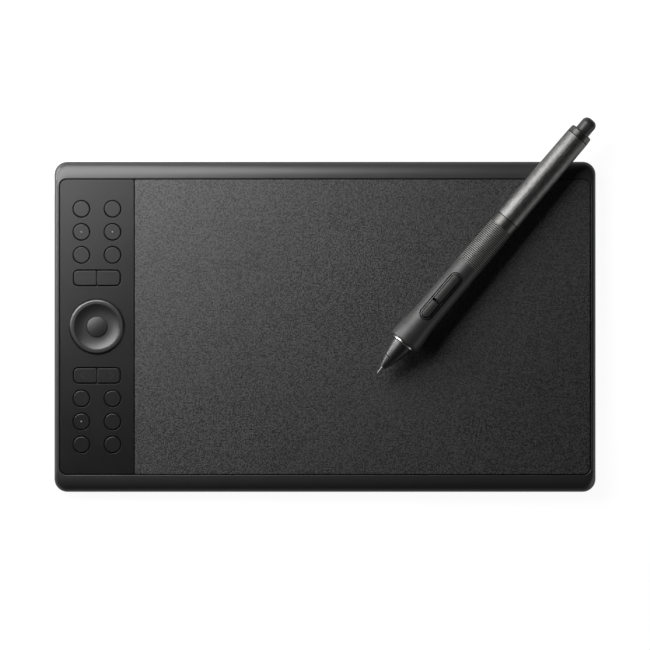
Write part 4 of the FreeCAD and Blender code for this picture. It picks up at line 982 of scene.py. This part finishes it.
@dataclass
class Dial(Assembly):
    """The dial, its button, and the hub and wheel below them.

    Args:
        ring: finish of the dial.
        button: finish of its button.
        hub: finish of the hub and the key guide.
        wheel: finish of the encoder wheel.
    """

    ring: MouldedPlastic = MouldedPlastic(
        "dial", (0.0065, 0.0066, 0.0065), 0.344, gloss=1.0, mottle=0.05
    )
    button: MouldedPlastic = MouldedPlastic(
        "dial_button", (0.0065, 0.0066, 0.0064), 0.344, gloss=1.0, mottle=0.05
    )
    hub: MouldedPlastic = MouldedPlastic("dial_hub", (0.12, 0.12, 0.115), 0.5)
    wheel: WorkedMetal = WorkedMetal("encoder_wheel", (0.5, 0.5, 0.5), 0.35)

    def build(self) -> None:
        """Dresses the dial."""
        self.dress(self.ring, "dial_ring")
        self.dress(self.button, "dial_button")
        self.dress(self.hub, "dial_hub", "key_guide_frame")
        self.dress(self.wheel, "encoder_wheel")


@dataclass
class Works(Assembly):
    """Boards, sheets and the cable socket inside the case.

    Args:
        board: finish of the key board.
        sensor: finish of the sensor board.
        foil: finish of the shield.
        steel: finish of the stiffener.
        dome: finish of the snap domes.
        chip: finish of the components.
        shell: finish of the socket.
    """

    board: BoardLacquer = BoardLacquer("board_lacquer", (0.012, 0.05, 0.022))
    sensor: BoardLacquer = BoardLacquer("sensor_lacquer", (0.01, 0.022, 0.05), pitch=0.004)
    foil: WorkedMetal = WorkedMetal("shield_foil", (0.5, 0.5, 0.51), 0.45, line=0.0006)
    steel: WorkedMetal = WorkedMetal("stiffener_steel", (0.42, 0.42, 0.43), 0.35, lay=Lay.ALONG)
    dome: WorkedMetal = WorkedMetal("dome_steel", (0.62, 0.61, 0.58), 0.25)
    chip: MouldedPlastic = MouldedPlastic("component_black", (0.015, 0.015, 0.016), 0.5)
    shell: WorkedMetal = WorkedMetal("socket_steel", (0.6, 0.6, 0.61), 0.28, lay=Lay.ALONG)

    def build(self) -> None:
        """Dresses the works."""
        self.dress(self.board, "key_board")
        self.dress(self.sensor, "sensor_board")
        self.dress(self.foil, "shield_sheet")
        self.dress(self.steel, "stiffener_plate")
        self.dress(self.dome, "snap_domes")
        self.dress(self.chip, "controller_chip", "board_connector", "encoder_sensor")
        self.dress(self.shell, "usb_socket")


@dataclass
class Pen(Assembly):
    """The pen, from its nib to its eraser.

    Args:
        place: the frame whose X axis runs along the pen from its tip.
        nose_seam: distance of the seam in the nose from the tip, in metres.
        nose_end: distance of the nose cone's back.
        grip_end: distance of the grip's back.
        sleeve_end: distance of the ribbed sleeve's back.
        ring_end: distance of the barrel ring's back.
        barrel_end: distance of the barrel's back.
        spine_front: distance of the front end of the side switch's spine.
        spine_back: distance of its back end.
        slot_edge: half width round the spine within which shade is painted on the grip, beside the
            switch's slot.
        frame_face: half widths between which the switch's frame is left lit; shade is painted on it
            outside them.
        button_edge: half width of the buttons' lit middle; shade is painted on their edges outside
            it.
        nose: finish of the nose.
        nib: finish of the nib.
        bright: finish of the ring behind the nose.
        grip: finish of the grip.
        frame: finish of the switch's frame.
        switch: finish of its buttons.
        ring: finish of the barrel ring.
        barrel: finish of the barrel.
        collar: finish of the end collar.
        eraser: finish of the eraser.
        coil: finish of the coil.
        inner: finish of the tube and the sensors.
        board: finish of the circuit board.
    """

    place: PatternFrame
    nose_seam: float = 0.0102
    nose_end: float = 0.0195
    grip_end: float = 0.071
    sleeve_end: float = 0.0955
    ring_end: float = 0.10075
    barrel_end: float = 0.1545
    spine_front: float = 0.0388
    spine_back: float = 0.061
    slot_edge: float = 0.0036
    frame_face: Span = (0.0026, 0.0029)
    button_edge: float = 0.002
    nose: MouldedPlastic = MouldedPlastic(
        "nose_tip", (0.01, 0.01, 0.0102), 0.37, gloss=0.9, depth=POLISHED
    )
    nib: MouldedPlastic = MouldedPlastic(
        "nib", (0.075, 0.075, 0.076), 0.29, gloss=0.95, depth=POLISHED
    )
    bright: WorkedMetal = WorkedMetal("bright_ring", (0.5, 0.498, 0.49), 0.26, contrast=0.06)
    grip: SoftRubber = SoftRubber(
        "grip_rubber", (0.034, 0.0339, 0.0332), 0.48, gloss=0.68, sheen=0.03
    )
    frame: MouldedPlastic = MouldedPlastic("switch_frame", (0.06, 0.06, 0.06), 0.3)
    switch: MouldedPlastic = MouldedPlastic("side_switch", (0.022, 0.022, 0.0212), 0.38)
    ring: WorkedMetal = WorkedMetal("barrel_ring", (0.14, 0.138, 0.132), 0.44, contrast=0.16)
    barrel: WorkedMetal = WorkedMetal(
        "barrel_metal", (0.19, 0.1897, 0.186), 0.46, line=0.0007, depth=0.00002, contrast=0.42
    )
    collar: WorkedMetal = WorkedMetal("end_collar", (0.15, 0.15, 0.1445), 0.38, contrast=0.1)
    eraser: SoftRubber = SoftRubber("eraser", (0.045, 0.045, 0.044), 0.36, gloss=0.6, sheen=0.03)
    coil: WorkedMetal = WorkedMetal("coil_copper", (0.66, 0.3, 0.13), 0.3, contrast=0.3)
    inner: MouldedPlastic = MouldedPlastic("inner_plastic", (0.03, 0.03, 0.03), 0.5)
    board: BoardLacquer = BoardLacquer("pen_board", (0.012, 0.05, 0.022))

    def build(self) -> None:
        """Dresses the pen."""
        # Shade painted in the seams between the pen's pieces.
        tip_seams = self.seams(0.0, self.nose_seam)
        cone_seams = self.seams(self.nose_seam, self.nose_end)
        self.dress(replace(self.nose, gap=tip_seams), "pen_nose_tip")
        self.dress(replace(self.nose, name="nose_cone", gap=cone_seams), "pen_nose_cone")
        self.dress(self.nib, "pen_nib")
        self.dress(self.turned(self.bright), "pen_nose_ring")
        # Shade painted round the switch: on the grip by its slot, on the frame outside its lit band,
        # on the buttons' edges.
        grip_gaps = SeveralGaps((self.seams(0.0, self.grip_end), self.slot(lit_from=self.slot_edge)))
        self.dress(replace(self.grip, gap=grip_gaps), "pen_grip")
        self.dress(replace(self.frame, gap=self.slot(*self.frame_face)), "pen_switch_bezel")
        switch = replace(self.switch, gap=self.slot(lit_to=self.button_edge))
        self.dress(switch, "pen_switch_front", "pen_switch_rear")
        self.dress(RibbedSleeve(self.place, self.grip_end), "pen_ribbed_sleeve")
        ring_seams = self.seams(self.sleeve_end, self.ring_end)
        self.dress(self.turned(self.ring, gap=ring_seams), "pen_barrel_ring")
        barrel_seams = self.seams(self.ring_end, self.barrel_end)
        self.dress(self.turned(self.barrel, Lay.BRUSHED, barrel_seams), "pen_barrel")
        collar_seams = self.seams(self.barrel_end, FAR)
        self.dress(self.turned(self.collar, gap=collar_seams), "pen_end_collar")
        self.dress(self.eraser, "pen_eraser")
        self.dress(self.turned(self.coil), "pen_coil")
        self.dress(self.inner, "pen_tube", "pen_nib_sensor", "pen_eraser_sensor")
        self.dress(self.board, "pen_circuit_board")

    def seams(self, front: float, back: float) -> SeamGap:
        """Painted shade in the seams at the ends of a piece, by their distances from the tip."""
        return SeamGap(self.place, front, back)

    def slot(self, lit_from: float = -FAR, lit_to: float = FAR) -> SlotGap:
        """Painted shade beside a piece of the side switch, which is left lit between two half widths.
        """
        return SlotGap(self.place, self.spine_front, self.spine_back, lit_from, lit_to)

    def turned(self, metal: WorkedMetal, lay: Lay = Lay.ROUND, gap: Gap | None = None) -> WorkedMetal:
        """A metal finish whose lines lie round or along the pen.

        Args:
            metal: the finish.
            lay: the way that its lines run.
            gap: where shade is painted on it in a gap.

        Returns:
            The finish in the pen's frame.
        """
        return replace(metal, place=self.place, lay=lay, gap=gap)


def pen_frame(joints: Sequence[dict[str, Any]], nib: bpy.types.Object) -> PatternFrame:
    """Finds the pen's own frame from its joints and its nib.

    Args:
        joints: the record's joints.
        nib: the nib's object.

    Returns:
        The frame at the pen's tip.
    """
    axes = {joint["name"]: Vector(joint["axis"]) for joint in joints}
    along = axes["pen_nib_press"].normalized()
    up = -axes["pen_switch_front_press"].normalized()
    tip = min((vertex.co for vertex in nib.data.vertices), key=lambda place: place @ along)
    turn = Matrix((along, up.cross(along), up)).transposed().to_euler()
    return PatternFrame(tuple(tip), tuple(turn))


@dataclass(frozen=True)
class SoftLamp:
    """Rectangular soft lamp.

    Args:
        name: its name.
        place: its place.
        aim: the point that it faces.
        size: its width and height, in metres.
        power: its power, in watts.
    """

    name: str
    place: Point
    aim: Point
    size: Span
    power: float

    def build(self) -> None:
        """Adds the lamp."""
        data = bpy.data.lights.new(self.name, "AREA")
        data.shape = "RECTANGLE"
        data.size, data.size_y = self.size
        data.energy = self.power
        lamp = bpy.data.objects.new(self.name, data)
        lamp.location = self.place
        direction = Vector(self.aim) - Vector(self.place)
        lamp.rotation_euler = direction.to_track_quat("-Z", "Y").to_euler()
        lamp.visible_camera = False
        bpy.context.scene.collection.objects.link(lamp)


@dataclass
class Studio:
    """Camera, lamps, floor and surroundings.

    Args:
        lens: focal length, in millimetres.
        view_width: width of the view at the object, in metres.
        sight: how far the camera sees.
        lamps: a large lamp behind and to the left, and three weak or low ones.
        floor_half: half the floor's width.
        floor_drop: how far it lies below the feet.
        sky: stops of the surroundings, as the height of a direction and its light.
    """

    lens: float = 400.0
    view_width: float = 0.325
    sight: float = 100.0
    lamps: tuple[SoftLamp, ...] = (
        SoftLamp("key_lamp", (-0.178, 0.206, 0.2195), (-0.09, 0.118, 0.009), (0.346, 0.271), 1.7),
        SoftLamp("fill_lamp", (0.6, -0.35, 0.3), VIEW_MIDDLE, (0.4, 0.4), 0.08),
        SoftLamp("low_lamp", (-0.42, 0.2, 0.07), (0.06, 0.02, 0.015), (0.36, 0.05), 1.36),
        SoftLamp("side_lamp", (0.33, -0.15, 0.05), (0.08, 0.04, 0.015), (0.25, 0.05), 0.075),
    )
    floor_half: float = 20.0
    floor_drop: float = 0.00005
    sky: tuple[Span, ...] = ((0.0, 0.25), (0.1, 0.1), (0.25, 0.03), (0.4, 0.015))

    def build(self) -> None:
        """Sets the studio up."""
        self._camera()
        for lamp in self.lamps:
            lamp.build()
        self._floor()
        self._surroundings()
        bpy.context.scene.view_settings.view_transform = "Standard"

    def _camera(self) -> None:
        """Looks straight down through a long lens."""
        data = bpy.data.cameras.new("camera")
        data.lens = self.lens
        data.clip_end = self.sight
        distance = self.view_width * self.lens / data.sensor_width
        camera = bpy.data.objects.new("camera", data)
        camera.location = Vector(VIEW_MIDDLE) + Vector((0.0, 0.0, distance))
        bpy.context.scene.collection.objects.link(camera)
        bpy.context.scene.camera = camera

    def _floor(self) -> None:
        """Adds the floor."""
        shape = bmesh.new()
        bmesh.ops.create_grid(shape, x_segments=1, y_segments=1, size=self.floor_half)
        bmesh.ops.translate(shape, verts=shape.verts, vec=(0.0, 0.0, -self.floor_drop))
        mesh = bpy.data.meshes.new("floor")
        shape.to_mesh(mesh)
        shape.free()
        mesh.materials.append(PaintedFloor().material())
        floor = bpy.data.objects.new("floor", mesh)
        bpy.context.scene.collection.objects.link(floor)

    def _surroundings(self) -> None:
        """A studio that is pale near the floor and dim overhead."""
        world = bpy.data.worlds.new("studio")
        world.use_nodes = True
        bpy.context.scene.world = world
        graph = Graph(world.node_tree)
        direction = graph.node("ShaderNodeTexCoord", {}, {}, "Generated")
        stops = [(height, (light, light, light, 1.0)) for height, light in self.sky]
        tone = graph.node("ShaderNodeValToRGB", {"stops": stops}, {0: direction.axis("Z")})
        light = graph.node("ShaderNodeBackground", {}, {"Color": tone})
        graph.node("ShaderNodeOutputWorld", {}, {"Surface": light})


def main() -> None:
    logging.basicConfig(level=logging.INFO, format="%(message)s")
    for leftover in list(bpy.data.objects):
        bpy.data.objects.remove(leftover)
    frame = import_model()
    nodes = frame["nodes"]
    Studio().build()
    Case(nodes).build()
    Face(nodes).build()
    Dial(nodes).build()
    Works(nodes).build()
    Pen(nodes, pen_frame(frame["joints"], nodes["pen_nib"])).build()


if __name__ == "__main__":
    main()
